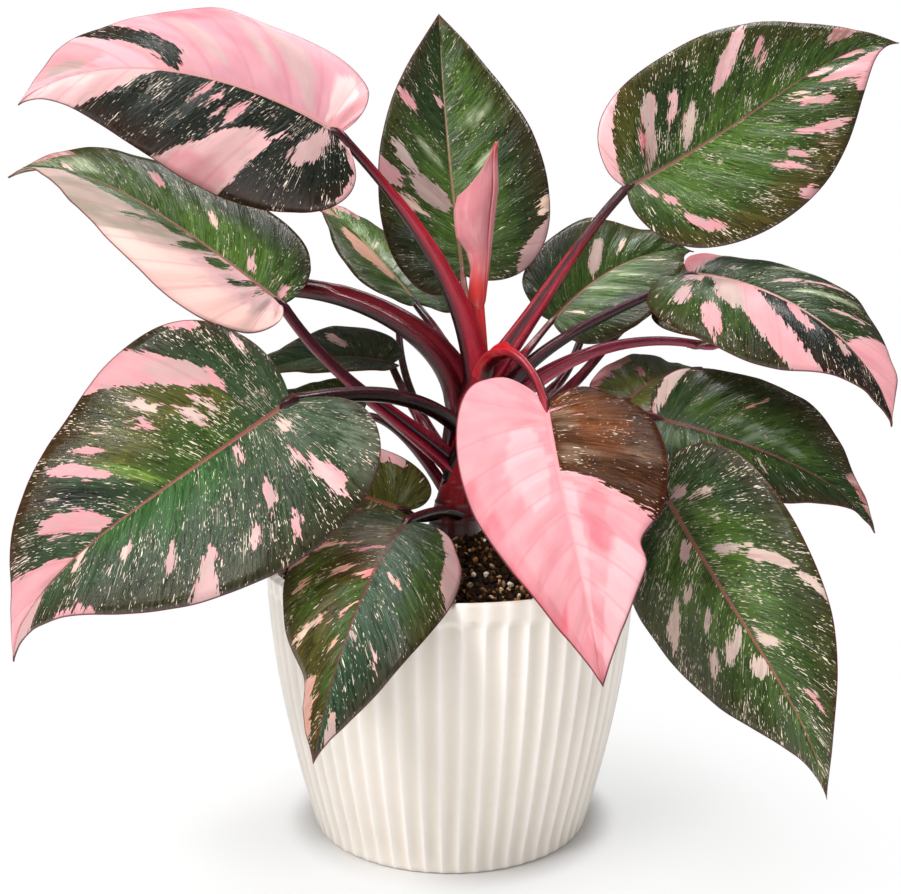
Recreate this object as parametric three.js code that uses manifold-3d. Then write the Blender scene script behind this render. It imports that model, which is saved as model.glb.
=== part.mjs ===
// Variegated "pink princess" philodendron in a fluted ceramic pot.
// Millimetres, +Z up. The pot stands on Z = 0 with its axis on the Z axis, and -Y is the side
// that the plant is looked at from. Every leaf has two nodes, its blade and its petiole.
import * as THREE from "three";
import Module from "manifold-3d";

const wasm = await Module();
wasm.setup();

// ---------------------------------------------------------------- driving dimensions
const GAP = 0.3;              // clearance wherever two pieces touch
const CLEAN = 0.07;           // edges shorter than this are cleaned away after a cut

const POT_HEIGHT = 119.5;
const POT_RIM_RADIUS = 84;    // outside, at the rim
const POT_BASE_RADIUS = 63;   // outside, at the foot
const POT_WALL = 4.6;
const POT_FLOOR = 6;
const POT_BAND = 6;           // plain rounded band above the flutes
const FLUTES = 58;
const FLUTE_DEPTH = 1.7;
const FOOT_CHAMFER = 1.2;

const SOIL_EDGE = 112.5;      // height of the potting mix against the wall
const SOIL_CROWN = 134;       // height of its mound round the stem
const GRAINS = 60;            // bark chips and perlite lying on the mix
const GRAIN_SIZE = [2.2, 4.6];

const STEM_RADIUS = 8.6;
const STEM_FOOT = 72;         // depth that the stem reaches in the mix
const STEM_PATH = [[2, 5, 136], [4, 5, 152], [9, 5, 178], [14, 6, 206]];

const BLADE_TOP = 0.45;       // half thicknesses of a blade, off its middle surface
const BLADE_UNDER = 0.5;
const MIDRIB = 1.7;           // how far the midrib stands out below, at the blade's base
const ALONG = 12;             // steps from the sinus round to the tip
const ACROSS = 3;             // steps from the midrib out to the edge

// One row for each leaf. Angles are in degrees, lengths in millimetres.
// from, lead, reach, base: the petiole's curve, from the stem to the blade.
// thick: the petiole's radius at the stem and at the blade.
// heading turns from the first angle by the second one along the blade, about Z from +X.
// rise is the midrib's slope at the base, and droop and hook bend it down, evenly and at the tip.
// roll turns the blade about its midrib, by the second angle more at the tip.
// size: length and width. fold lifts the two halves and cup bends them back.
// lobes: how far the right and left lobe reach behind the base, in lengths.
// broad is where the blade is widest, taper how full it stays near the tip, lean widens the right.
// wave: height of the edge's waves, their number along one half, and their phase.
// nick: a dent in one half's edge, as [1 right or 0 left, place, width, depth].
const LEAVES = [
  { name: "furled", from: [14, 8, 198], lead: [14, 9, 212], reach: [13, 12, 224], base: [12, 14, 238],
    thick: [4.4, 3.8] },
  { name: "left_high", from: [13, 3, 207], lead: [5, 3, 255], reach: [-28, -5, 289],
    base: [-49, -5, 312], thick: [6.2, 2.2], heading: [181, -5], rise: 32, droop: 45, hook: 27,
    roll: [74, 0], size: [152, 94], fold: 2, cup: 40, lobes: [0.05, 0.23], broad: 0.28, taper: 0.16,
    lean: -0.03, wave: [2.6, 2.5, 0.4], nick: [1, 0.36, 0.09, 0.18] },
  { name: "right_high", from: [17, 3, 204], lead: [43, 5, 238], reach: [59, -1, 269],
    base: [79, 0, 289], thick: [5.6, 2.2], heading: [17, -4], rise: 27, droop: -16, hook: 44,
    roll: [-71, 0], size: [159, 96], fold: 21, cup: 22, lobes: [0.07, 0.08], broad: 0.30, taper: 0.08,
    lean: 0.08, wave: [1.6, 2.2, 1.8] },
  { name: "front", from: [15, -1, 207], lead: [21, -11, 228], reach: [37, -35, 210],
    base: [39, -50, 194], thick: [3.4, 2.0], heading: [-88, 11], rise: -33, droop: 17, hook: 12,
    roll: [0, -20], size: [129, 80], fold: 14, cup: 16, lobes: [0.24, 0.14], broad: 0.23, taper: 0.22,
    lean: -0.04, wave: [1.8, 2.4, 2.6], nick: [0, 0.62, 0.045, 0.19] },
  { name: "upright", from: [12, 14, 200], lead: [10, 20, 227], reach: [6, 32, 248],
    base: [6, 45, 254], thick: [3.6, 1.7], heading: [110, -1], rise: 69, droop: -11, hook: -3,
    roll: [11, -5], size: [140, 88], fold: 20, cup: 12, lobes: [0.10, 0.18], broad: 0.26, taper: 0.38,
    lean: 0.09, wave: [1.6, 2.0, 0.9] },
  { name: "back_left", from: [5, 7, 195], lead: [-2, 10, 227], reach: [-48, 14, 246],
    base: [-78, 16, 246], thick: [8.2, 4.6], heading: [168, 4], rise: 36, droop: 30, hook: 15,
    roll: [40, 0], size: [103, 58], fold: 14, cup: 20, lobes: [0.10, 0.10], broad: 0.30, taper: 0.15,
    lean: 0, wave: [1.5, 2.3, 0.2] },
  { name: "right_mid", from: [19, 5, 190], lead: [41, 3, 226], reach: [84, 2, 236],
    base: [108, 0, 251], thick: [4.2, 2.0], heading: [-39, 5], rise: -6, droop: 53, hook: 23,
    roll: [-30, 0], size: [118, 77], fold: 12, cup: 48, lobes: [0.19, 0.12], broad: 0.31, taper: 0.09,
    lean: 0.07, wave: [1.8, 2.6, 1.2] },
  { name: "right_mid_rear", from: [23, 9, 188], lead: [48, 12, 216], reach: [88, 18, 226],
    base: [120, 22, 219], thick: [6.0, 2.2], heading: [2, 0], rise: 14, droop: 8, hook: 15,
    roll: [6, 0], size: [78, 42], fold: 8, cup: 12, lobes: [0.14, 0.14], broad: 0.30, taper: 0.15,
    lean: 0, wave: [1.4, 2.2, 2.0] },
  { name: "right_behind", from: [20, 8, 199], lead: [37, 13, 217], reach: [42, 29, 223],
    base: [50, 41, 231], thick: [3.2, 1.6], heading: [41, -10], rise: 40, droop: 35, hook: 10,
    roll: [-48, 4], size: [112, 68], fold: 20, cup: 18, lobes: [0.10, 0.06], broad: 0.34, taper: 0.12,
    lean: 0.06, wave: [2.4, 2.8, 0.7] },
  { name: "left_low", from: [5, 0, 181], lead: [-14, -12, 201], reach: [-43, -37, 200],
    base: [-65, -55, 196], thick: [4.8, 3.2], heading: [202, -9], rise: -33, droop: 2, hook: 51,
    roll: [54, -7], size: [149, 122], fold: 13, cup: 13, lobes: [0.07, 0.26], broad: 0.26, taper: 0.05,
    lean: -0.01, wave: [2.2, 2.7, 1.5] },
  { name: "left_mid", from: [3, 4, 162], lead: [-25, -1, 188], reach: [-54, -4, 203],
    base: [-75, -9, 237], thick: [5.5, 2.5], heading: [178, -3], rise: 39, droop: 11, hook: 55,
    roll: [42, -14], size: [141, 83], fold: 20, cup: 25, lobes: [0.04, 0.09], broad: 0.28, taper: 0.22,
    lean: -0.07, wave: [1.6, 2.1, 2.9] },
  { name: "right_low", from: [13, 2, 175], lead: [41, 1, 189], reach: [66, -3, 194],
    base: [93, -5, 186], thick: [3.6, 2.2], heading: [-38, 19], rise: -10, droop: 18, hook: 38,
    roll: [-41, 5], size: [108, 73], fold: 13, cup: 17, lobes: [0.20, 0.14], broad: 0.28, taper: 0.06,
    lean: -0.06, wave: [1.8, 2.4, 0.5] },
  { name: "right_small", from: [13, 6, 175], lead: [38, 10, 185], reach: [60, 19, 192],
    base: [85, 25, 192], thick: [3.2, 1.9], heading: [53, 0], rise: 23, droop: 25, hook: 9,
    roll: [-14, 0], size: [85, 50], fold: 16, cup: 16, lobes: [0.22, 0.22], broad: 0.30, taper: 0.18,
    lean: 0, wave: [1.2, 2.2, 1.0] },
  { name: "right_front", from: [11, -1, 162], lead: [36, -10, 180], reach: [65, -31, 178],
    base: [89, -45, 158], thick: [3.8, 2.4], heading: [-66, 19], rise: -42, droop: 4, hook: 35,
    roll: [-74, 6], size: [135, 81], fold: -4, cup: 8, lobes: [0.07, 0.14], broad: 0.27, taper: 0.06,
    lean: 0.03, wave: [2.2, 2.5, 2.2] },
  { name: "front_left", from: [4, -4, 141], lead: [-2, -14, 147], reach: [-11, -33, 147],
    base: [-18, -48, 146], thick: [3.0, 2.2], heading: [257, -25], rise: -6, droop: 79, hook: -12,
    roll: [20, -12], size: [116, 67], fold: -4, cup: 13, lobes: [0.12, 0.10], broad: 0.30,
    taper: 0.24, lean: 0.04, wave: [2.0, 2.2, 1.1], nick: [1, 0.745, 0.10, 0.33] },
  { name: "left_inner", from: [2, 5, 143], lead: [-8, -1, 141], reach: [-14, -9, 138],
    base: [-20, -14, 145], thick: [3.0, 2.0], heading: [172, 0], rise: 20, droop: 20, hook: 10,
    roll: [60, 0], size: [76, 50], fold: 8, cup: 18, lobes: [0.20, 0.10], broad: 0.30, taper: 0.15,
    lean: 0, wave: [1.6, 2.3, 0.3] },
  { name: "left_rear", from: [2, 9, 156], lead: [-14, 18, 182], reach: [-24, 35, 197],
    base: [-30, 50, 210], thick: [3.4, 1.9], heading: [166, -9], rise: 12, droop: 39, hook: 13,
    roll: [20, 13], size: [92, 54], fold: 19, cup: 16, lobes: [0.08, 0.16], broad: 0.35, taper: 0.19,
    lean: -0.04, wave: [1.3, 2.2, 1.7] },
  { name: "left_small", from: [0, 8, 147], lead: [-13, 12, 169], reach: [-30, 18, 188],
    base: [-43, 23, 185], thick: [3.2, 1.9], heading: [170, -4], rise: 14, droop: 20, hook: 12,
    roll: [40, 0], size: [54, 38], fold: 14, cup: 18, lobes: [0.02, 0.08], broad: 0.30, taper: 0.15,
    lean: 0, wave: [1.2, 2.1, 2.4] },
  { name: "left_rear_high", from: [4, 11, 193], lead: [2, 19, 222], reach: [-14, 36, 233],
    base: [-18, 50, 241], thick: [3.6, 1.9], heading: [131, 5], rise: 39, droop: 3, hook: 26,
    roll: [-1, -2], size: [103, 61], fold: 19, cup: 25, lobes: [0.22, 0.17], broad: 0.26, taper: 0.17,
    lean: 0, wave: [1.4, 2.3, 0.8] },
  { name: "back_low", from: [2, 11, 161], lead: [-16, 28, 185], reach: [-28, 76, 203],
    base: [-28, 94, 235], thick: [3.2, 1.8], heading: [96, 0], rise: 2, droop: 4, hook: 4,
    roll: [-30, 0], size: [66, 34], fold: 4, cup: 6, lobes: [0.18, 0.18], broad: 0.30, taper: 0.15,
    lean: 0, wave: [1.2, 2.2, 1.4] },
  { name: "back_right", from: [16, 11, 182], lead: [58, 25, 192], reach: [61, 55, 212],
    base: [73, 76, 233], thick: [3.6, 2.0], heading: [62, 4], rise: 38, droop: 40, hook: 15,
    roll: [-14, 0], size: [104, 62], fold: 14, cup: 20, lobes: [0.18, 0.18], broad: 0.30, taper: 0.15,
    lean: 0, wave: [1.6, 2.4, 0.1] },
  { name: "back_far_right", from: [16, 10, 175], lead: [63, 21, 186], reach: [77, 45, 233],
    base: [107, 62, 239], thick: [3.6, 2.0], heading: [14, 0], rise: 4, droop: 30, hook: 15,
    roll: [-44, 0], size: [104, 62], fold: 14, cup: 20, lobes: [0.16, 0.16], broad: 0.30, taper: 0.15,
    lean: 0, wave: [1.6, 2.3, 2.7] },
];

// The rolled new leaf: a cone that opens to the left and is cut slantwise at the mouth.
const FURL = {
  foot: [12, 14, 238],      // top of its petiole
  lean: [0.115, 0.03],      // how far the straight edge leans to the right and away, per height
  radii: [[0, 3.9], [17, 4.2], [24, 5.6], [31, 8.6], [43, 10.3], [57, 10.0], [74, 9.0]],
  corner: 50,               // height of the lower, left corner above the foot
  tip: 75,                  // height of the pointed corner
  depth: 0.8,               // front-to-back radius against the side-to-side one
};

// ---------------------------------------------------------------- colours
const COLOURS = {
  pot: { color: 0xe9e3d6, roughness: 0.42, metalness: 0 },
  soil: { color: 0x2b1d15, roughness: 0.95, metalness: 0 },
  stem: { color: 0x6d1522, roughness: 0.45, metalness: 0 },
  petiole: { color: 0x5a1420, roughness: 0.4, metalness: 0 },
  green: { color: 0x34482a, roughness: 0.36, metalness: 0 },
  pink: { color: 0xe9a3ab, roughness: 0.38, metalness: 0 },
};
const PINK_BLADES = ["front", "furled", "left_high"];

// ---------------------------------------------------------------- helpers
const degrees = (angle) => (angle * Math.PI) / 180;
const lerp = THREE.MathUtils.lerp;

/** Seeded random numbers in 0..1. */
function randomFrom(seed) {
  let state = seed;
  return () => {
    state = (state * 1664525 + 1013904223) % 4294967296;
    return state / 4294967296;
  };
}

/** Value at x of a broken line through [x, y] points. */
function along(points, x) {
  if (x <= points[0][0]) return points[0][1];
  for (let i = 1; i < points.length; i++) {
    const [x0, y0] = points[i - 1];
    const [x1, y1] = points[i];
    if (x <= x1) return lerp(y0, y1, (x - x0) / (x1 - x0));
  }
  return points[points.length - 1][1];
}

/** Point on a flat cubic Bezier. */
function bezier2(p, t) {
  const s = 1 - t;
  const w = [s * s * s, 3 * s * s * t, 3 * s * t * t, t * t * t];
  return [0, 1].map((k) => w.reduce((sum, weight, i) => sum + weight * p[i][k], 0));
}

/** Triangles on a list of Vector3 points as a closed solid. */
function solidFrom(points, triangles) {
  const vertProperties = new Float32Array(points.flatMap((p) => [p.x, p.y, p.z]));
  const triVerts = new Uint32Array(triangles.flat());
  return new wasm.Manifold(new wasm.Mesh({ numProp: 3, vertProperties, triVerts }));
}

/** Largest body of a solid, with specks of edges left by the cuts cleaned away. */
function mainBody(solid) {
  const bodies = solid.simplify(CLEAN).decompose();
  return bodies.reduce((best, body) => (body.volume() > best.volume() ? body : best));
}

/** Named mesh of a solid. */
function meshOf(name, solid, look) {
  const { vertProperties, triVerts } = solid.getMesh();
  const geometry = new THREE.BufferGeometry();
  geometry.setAttribute("position", new THREE.BufferAttribute(vertProperties, 3));
  geometry.setIndex(new THREE.BufferAttribute(triVerts, 1));
  geometry.computeVertexNormals();
  const mesh = new THREE.Mesh(geometry, new THREE.MeshStandardMaterial(COLOURS[look]));
  mesh.name = name;
  return mesh;
}

/** Closed solid through rings of equal point counts, capped at both ends. */
function loft(rings) {
  const sides = rings[0].length;
  const points = rings.flat();
  const triangles = [];
  for (let r = 0; r + 1 < rings.length; r++) {
    for (let k = 0; k < sides; k++) {
      const a = r * sides + k;
      const b = r * sides + ((k + 1) % sides);
      triangles.push([a, b, b + sides], [a, b + sides, a + sides]);
    }
  }
  [0, rings.length - 1].forEach((r) => {
    const middle = new THREE.Vector3();
    rings[r].forEach((p) => middle.addScaledVector(p, 1 / sides));
    points.push(middle);
    for (let k = 0; k < sides; k++) {
      const a = r * sides + k;
      const b = r * sides + ((k + 1) % sides);
      triangles.push(r === 0 ? [b, a, points.length - 1] : [a, b, points.length - 1]);
    }
  });
  return solidFrom(points, triangles);
}

// ---------------------------------------------------------------- pot
/** Outer radius of the pot's body, without its flutes. */
function potRadius(z) {
  const t = THREE.MathUtils.clamp(z / POT_HEIGHT, 0, 1);
  return POT_BASE_RADIUS + (POT_RIM_RADIUS - POT_BASE_RADIUS) * (1 - (1 - t) ** 1.7);
}

/** Inner profile, moved inward by inset, from the middle of the floor to the height top. */
function cavityProfile(inset, top) {
  const points = [[0, POT_FLOOR + inset]];
  const foot = potRadius(POT_FLOOR) - POT_WALL - inset;
  points.push([foot - 5, POT_FLOOR + inset]);
  [10, 45, 85].forEach((z) => points.push([potRadius(z) - POT_WALL - inset, z]));
  points.push([potRadius(top) - POT_WALL - inset, top]);
  return points;
}

const AROUND = FLUTES * 3;

/** Solid of revolution about Z, with as many sides as asked, from [radius, z] points. */
function turned(profile, sides) {
  const rings = profile.map(([radius, z]) => {
    const ring = [];
    for (let k = 0; k < sides; k++) {
      const angle = (k / sides) * 2 * Math.PI;
      ring.push(new THREE.Vector3(radius * Math.cos(angle), radius * Math.sin(angle), z));
    }
    return ring;
  });
  return loft(rings);
}

function makePot() {
  // Each flute has a crisp ridge on either side and is scooped out between them.
  const rows = [
    [0, 0.25, FOOT_CHAMFER], [FOOT_CHAMFER, 0.7, 0], [34, 0.9, 0], [74, 1, 0],
    [POT_HEIGHT - POT_BAND - 3.5, 0.9, 0], [POT_HEIGHT - POT_BAND, 0.05, 0],
    [POT_HEIGHT - 1.5, 0, -0.4], [POT_HEIGHT, 0, 1.6],
  ];
  const rings = rows.map(([z, flute, inset]) => {
    const ring = [];
    for (let k = 0; k < AROUND; k++) {
      const angle = (k / AROUND) * 2 * Math.PI;
      const scoop = k % 3 === 0 ? 0 : FLUTE_DEPTH * flute;
      const radius = potRadius(z) - inset - scoop;
      ring.push(new THREE.Vector3(radius * Math.cos(angle), radius * Math.sin(angle), z));
    }
    return ring;
  });
  const profile = cavityProfile(0, POT_HEIGHT - 2).slice(1);
  const rim = profile[profile.length - 1][0];
  profile.push([rim + 0.7, POT_HEIGHT - 0.6], [rim + 2.2, POT_HEIGHT + 1]);
  return loft(rings).subtract(turned(profile, FLUTES));
}

// ---------------------------------------------------------------- stem
const stemCurve = new THREE.CubicBezierCurve3(...STEM_PATH.map((p) => new THREE.Vector3(...p)));

/** The stem grown by a margin. Below the curve it stands straight in its hole. */
function makeStem(margin = 0) {
  const foot = new THREE.Vector3(STEM_PATH[0][0], STEM_PATH[0][1], STEM_FOOT - margin);
  const middles = [foot, ...stemCurve.getPoints(7)];
  const rings = middles.map((middle, i) => {
    const taper = i < 2 ? 1 : 1 - 0.3 * ((i - 1) / 7);
    const ring = [];
    for (let k = 0; k < 12; k++) {
      const angle = (k / 12) * 2 * Math.PI;
      const radius = (STEM_RADIUS + margin) * taper;
      ring.push(new THREE.Vector3(radius * Math.cos(angle), radius * Math.sin(angle), 0).add(middle));
    }
    return ring;
  });
  rings[rings.length - 1].forEach((p) => (p.z += margin));
  return loft(rings);
}

// ---------------------------------------------------------------- soil
/** Height of the potting mix, mounded up to the stem. */
function soilHeight(x, y) {
  const edge = potRadius(SOIL_EDGE) - POT_WALL;
  const away = Math.min(1, Math.hypot(x - STEM_PATH[0][0], y - STEM_PATH[0][1]) / edge);
  return SOIL_EDGE + (SOIL_CROWN - SOIL_EDGE) * (0.5 + 0.5 * Math.cos(Math.PI * away ** 0.8));
}

function makeSoil() {
  const random = randomFrom(7);
  const sides = FLUTES / 2;
  const wall = cavityProfile(GAP, SOIL_EDGE - 1).slice(1);
  const rings = wall.map(([radius, z]) => {
    const ring = [];
    for (let k = 0; k < sides; k++) {
      const angle = (k / sides) * 2 * Math.PI;
      ring.push(new THREE.Vector3(radius * Math.cos(angle), radius * Math.sin(angle), z));
    }
    return ring;
  });
  const edge = wall[wall.length - 1][0];
  [0.9, 0.7, 0.5, 0.32, 0.16].forEach((share) => {
    const ring = [];
    for (let k = 0; k < sides; k++) {
      const angle = (k / sides) * 2 * Math.PI;
      const x = edge * share * Math.cos(angle);
      const y = edge * share * Math.sin(angle);
      const bump = (random() - 0.5) * 3;
      ring.push(new THREE.Vector3(x, y, soilHeight(x, y) + bump));
    }
    rings.push(ring);
  });
  let soil = loft(rings);
  // Chips and grains: low eight-sided lumps sunk by a third.
  for (let i = 0; i < GRAINS; i++) {
    const angle = random() * 2 * Math.PI;
    const away = 12 + (edge - 19) * Math.sqrt(random());
    const size = lerp(GRAIN_SIZE[0], GRAIN_SIZE[1], random() ** 1.5);
    const x = away * Math.cos(angle);
    const y = away * Math.sin(angle);
    const lump = new THREE.OctahedronGeometry(size, 0);
    lump.scale(1, 0.6 + 0.4 * random(), 0.6);
    lump.rotateZ(random() * Math.PI);
    lump.rotateX((random() - 0.5) * 0.7);
    lump.translate(x, y, soilHeight(x, y) + size * 0.15);
    soil = soil.add(solidOfGeometry(lump));
  }
  return mainBody(soil.subtract(makeStem(GAP)));
}

/** A simple three.js geometry as a solid, its doubled corners merged. */
function solidOfGeometry(geometry) {
  const position = geometry.getAttribute("position");
  const points = [];
  const seen = new Map();
  const corner = (i) => {
    const p = new THREE.Vector3().fromBufferAttribute(position, i);
    const key = p.toArray().map((v) => v.toFixed(3)).join();
    if (!seen.has(key)) {
      seen.set(key, points.length);
      points.push(p);
    }
    return seen.get(key);
  };
  const triangles = [];
  const count = geometry.index ? geometry.index.count : position.count;
  const at = (i) => corner(geometry.index ? geometry.index.getX(i) : i);
  for (let i = 0; i < count; i += 3) triangles.push([at(i), at(i + 1), at(i + 2)]);
  return solidFrom(points, triangles);
}

// ---------------------------------------------------------------- petioles
/** A petiole grown by a margin: a tapered stalk with a channel along its upper side. */
function makePetiole(leaf, margin = 0) {
  const curve = new THREE.CubicBezierCurve3(
    ...[leaf.from, leaf.lead, leaf.reach, leaf.base].map((p) => new THREE.Vector3(...p)),
  );
  const steps = 7;
  const sides = 8;
  const rings = [];
  for (let i = 0; i <= steps; i++) {
    const t = i / steps;
    const middle = curve.getPoint(t);
    const tangent = curve.getTangent(t);
    const side = new THREE.Vector3(0, 0, 1).cross(tangent).normalize();
    const up = new THREE.Vector3().crossVectors(tangent, side);
    const radius = lerp(leaf.thick[0], leaf.thick[1], 1 - (1 - t) ** 1.5) + margin;
    const ring = [];
    for (let k = 0; k < sides; k++) {
      const angle = (k / sides) * 2 * Math.PI;
      const reach = k === 2 && margin === 0 ? radius * 0.55 : radius;
      ring.push(
        middle.clone()
          .addScaledVector(side, reach * Math.cos(angle))
          .addScaledVector(up, reach * Math.sin(angle)),
      );
    }
    rings.push(ring);
  }
  return loft(rings);
}

// ---------------------------------------------------------------- blades
const HALF_SPLIT = 0.36;      // share of the outline that belongs to the basal lobe

/** Outline of one half at a = 0..1, from the sinus to the tip, in lengths and half widths. */
function halfOutline(leaf, right, a) {
  const lobe = leaf.lobes[right ? 0 : 1];
  const [half, place, width, depth] = leaf.nick ?? [0, 0, 1, 0];
  const notch = half === (right ? 1 : 0) ? depth * Math.exp(-(((a - place) / width) ** 2)) : 0;
  if (a <= HALF_SPLIT) {
    const t = a / HALF_SPLIT;
    const [u, v] = bezier2([[0, 0], [-lobe, 0.3], [-0.55 * lobe, 1], [leaf.broad, 1]], t);
    return { u, v: v * (1 - notch), vein: 0.1 * t * t };
  }
  const t = (a - HALF_SPLIT) / (1 - HALF_SPLIT);
  const [u, v] = bezier2([[leaf.broad, 1], [leaf.broad + 0.36, 1], [0.84, leaf.taper], [1, 0]], t);
  return { u, v: v * (1 - notch), vein: 0.1 + 0.9 * (0.75 * t + 0.25 * t * t) };
}

/** Heading and slope of a leaf's midrib at u = 0..1, and its direction. */
function midribAt(leaf, u) {
  const heading = degrees(leaf.heading[0] + leaf.heading[1] * u);
  const slope = degrees(leaf.rise - leaf.droop * u - leaf.hook * u ** 5);
  const flat = Math.cos(slope);
  const ahead = new THREE.Vector3(flat * Math.cos(heading), flat * Math.sin(heading), Math.sin(slope));
  return { heading, ahead };
}

/** Midrib points at equal steps. */
function midribPoints(leaf) {
  const steps = 60;
  const points = [new THREE.Vector3(...leaf.base)];
  for (let i = 0; i < steps; i++) {
    const { ahead } = midribAt(leaf, (i + 0.5) / steps);
    points.push(points[i].clone().addScaledVector(ahead, leaf.size[0] / steps));
  }
  return points;
}

/** Point and upward normal of the blade's middle surface. */
function bladePoint(leaf, spine, right, a, rho) {
  const side = right ? 1 : -1;
  const { u: edgeU, v: edgeV, vein } = halfOutline(leaf, right, a);
  const bow = 0.12 * rho * (1 - rho) * THREE.MathUtils.clamp((edgeU - vein) * 3, 0, 1);
  const u = lerp(vein, edgeU, rho) - bow;
  const held = THREE.MathUtils.clamp(u, 0, 1);
  const steps = spine.length - 1;
  const step = Math.min(Math.floor(held * steps), steps - 1);
  const point = spine[step].clone().lerp(spine[step + 1], held * steps - step);
  const { heading, ahead } = midribAt(leaf, held);
  point.addScaledVector(ahead, Math.min(u, 0) * leaf.size[0]);
  const flatSide = new THREE.Vector3(Math.sin(heading), -Math.cos(heading), 0);
  const flatUp = new THREE.Vector3().crossVectors(flatSide, ahead);
  const roll = degrees(leaf.roll[0] + leaf.roll[1] * held);
  const across = flatSide.clone().multiplyScalar(Math.cos(roll)).addScaledVector(flatUp, Math.sin(roll));
  const up = flatUp.clone().multiplyScalar(Math.cos(roll)).addScaledVector(flatSide, -Math.sin(roll));
  const half = (leaf.size[1] / 2) * (1 + side * leaf.lean);
  const fold = degrees(leaf.fold);
  const cup = degrees(leaf.cup);
  const tilt = fold - cup * edgeV * rho;
  const out = (half / cup) * (Math.sin(fold) - Math.sin(tilt));
  const lift = (half / cup) * (Math.cos(tilt) - Math.cos(fold));
  const [height, count, phase] = leaf.wave;
  const calm = Math.min(1, 5 * a) * Math.min(1, 4 * (1 - a));
  const wave = height * calm * rho * rho * Math.sin(2 * Math.PI * count * a + phase + side);
  point.addScaledVector(across, side * out).addScaledVector(up, lift + wave);
  const normal = up.clone();
  if (rho > 0) {
    normal.multiplyScalar(Math.cos(tilt)).addScaledVector(across, -side * Math.sin(tilt));
  }
  return { point, normal, vein };
}

/** A blade grown by a margin. Both faces are split into the same triangles. */
function makeBlade(leaf, margin = 0) {
  const spine = midribPoints(leaf);
  const points = [];
  const triangles = [];
  const seen = new Map();
  // Index of the upper corner of a grid point. The lower one follows it.
  const corner = (right, i, j) => {
    const end = i === 0 || i === ALONG;
    const key = end ? `end${i}` : j === 0 ? `rib${i}` : `${right}${i}_${j}`;
    if (!seen.has(key)) {
      const a = i / ALONG;
      const rho = end ? 0 : j / ACROSS;
      const { point, normal, vein } = bladePoint(leaf, spine, right, a, rho);
      if (margin > 0 && (end || j === ACROSS)) {
        const inner = end
          ? spine[i === 0 ? 3 : spine.length - 4]
          : bladePoint(leaf, spine, right, a, rho - 0.1).point;
        point.addScaledVector(point.clone().sub(inner).normalize(), margin);
      }
      const rib = rho === 0 ? MIDRIB * (1 - vein) ** 0.8 : 0;
      seen.set(key, points.length);
      points.push(point.clone().addScaledVector(normal, BLADE_TOP + margin));
      points.push(point.clone().addScaledVector(normal, -BLADE_UNDER - rib - margin));
    }
    return seen.get(key);
  };
  const face = (right, a, b, c) => {
    if (a === b || b === c || a === c) return;
    triangles.push(right ? [a, b, c] : [a, c, b]);
    triangles.push(right ? [a + 1, c + 1, b + 1] : [a + 1, b + 1, c + 1]);
  };
  [true, false].forEach((right) => {
    for (let i = 0; i < ALONG; i++) {
      for (let j = 0; j < ACROSS; j++) {
        const [p, q, r, s] = [[i, j], [i, j + 1], [i + 1, j + 1], [i + 1, j]]
          .map(([m, n]) => corner(right, m, n));
        face(right, p, q, r);
        face(right, p, r, s);
      }
      const from = corner(right, i, ACROSS);
      const to = corner(right, i + 1, ACROSS);
      triangles.push(right ? [to, from, from + 1] : [from, to, from + 1]);
      triangles.push(right ? [to, from + 1, to + 1] : [to, to + 1, from + 1]);
    }
  });
  return solidFrom(points, triangles);
}

/** The rolled new leaf, grown by a margin. */
function makeFurled(margin = 0) {
  const sides = 16;
  const rows = 9;
  const rings = [];
  for (let i = 0; i <= rows; i++) {
    const share = i / rows;
    const ring = [];
    for (let k = 0; k < sides; k++) {
      const angle = (k / sides) * 2 * Math.PI;
      const slant = ((1 + Math.cos(angle)) / 2) ** 1.4;
      const top = lerp(FURL.corner, FURL.tip, slant) + margin;
      const height = share * (top + margin) - margin;
      const closing = share < 0.8 ? 1 : 1 - 0.35 * ((share - 0.8) / 0.2) ** 2;
      const radius = along(FURL.radii, height) * closing + margin;
      const straight = FURL.foot[0] + FURL.lean[0] * height + FURL.radii[0][1];
      const x = straight - along(FURL.radii, height) + radius * Math.cos(angle);
      const y = FURL.foot[1] + FURL.lean[1] * height + radius * FURL.depth * Math.sin(angle);
      ring.push(new THREE.Vector3(x, y, FURL.foot[2] + GAP + height));
    }
    rings.push(ring);
  }
  return loft(rings);
}

// ---------------------------------------------------------------- assembly
const plant = new THREE.Group();
plant.name = "pink_princess_philodendron";
plant.add(meshOf("pot", makePot(), "pot"));
plant.add(meshOf("soil", makeSoil(), "soil"));
plant.add(meshOf("stem", makeStem(), "stem"));

// Petioles are fitted round the stem, under the blades and beside the petioles named before them.
const fitted = [makeStem(GAP)];
LEAVES.forEach((leaf) => {
  const furled = leaf.name === "furled";
  const blade = furled ? makeFurled() : makeBlade(leaf);
  const grown = furled ? makeFurled(GAP) : makeBlade(leaf, 2.5 * GAP);
  let petiole = makePetiole(leaf).subtract(grown);
  fitted.forEach((neighbour) => (petiole = petiole.subtract(neighbour)));
  fitted.push(makePetiole(leaf, GAP));
  plant.add(meshOf(`blade_${leaf.name}`, blade, PINK_BLADES.includes(leaf.name) ? "pink" : "green"));
  plant.add(meshOf(`petiole_${leaf.name}`, mainBody(petiole), "petiole"));
});

export default plant;
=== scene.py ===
# %% [markdown]
# # A pink princess philodendron in a fluted pot
# A variegated climbing aroid: heart-shaped blades, each on its own red stalk (petiole), round a
# short stem. Green tissue and tissue without green lie side by side in one blade, and the second
# kind shows pink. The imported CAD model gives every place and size, and everything here is made in
# metres in that same frame. Leaf measures are kept in millimetres, because a leaf is easier to
# think of that way, and turned into metres when a mesh is made.

# %% The frame
import math

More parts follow.
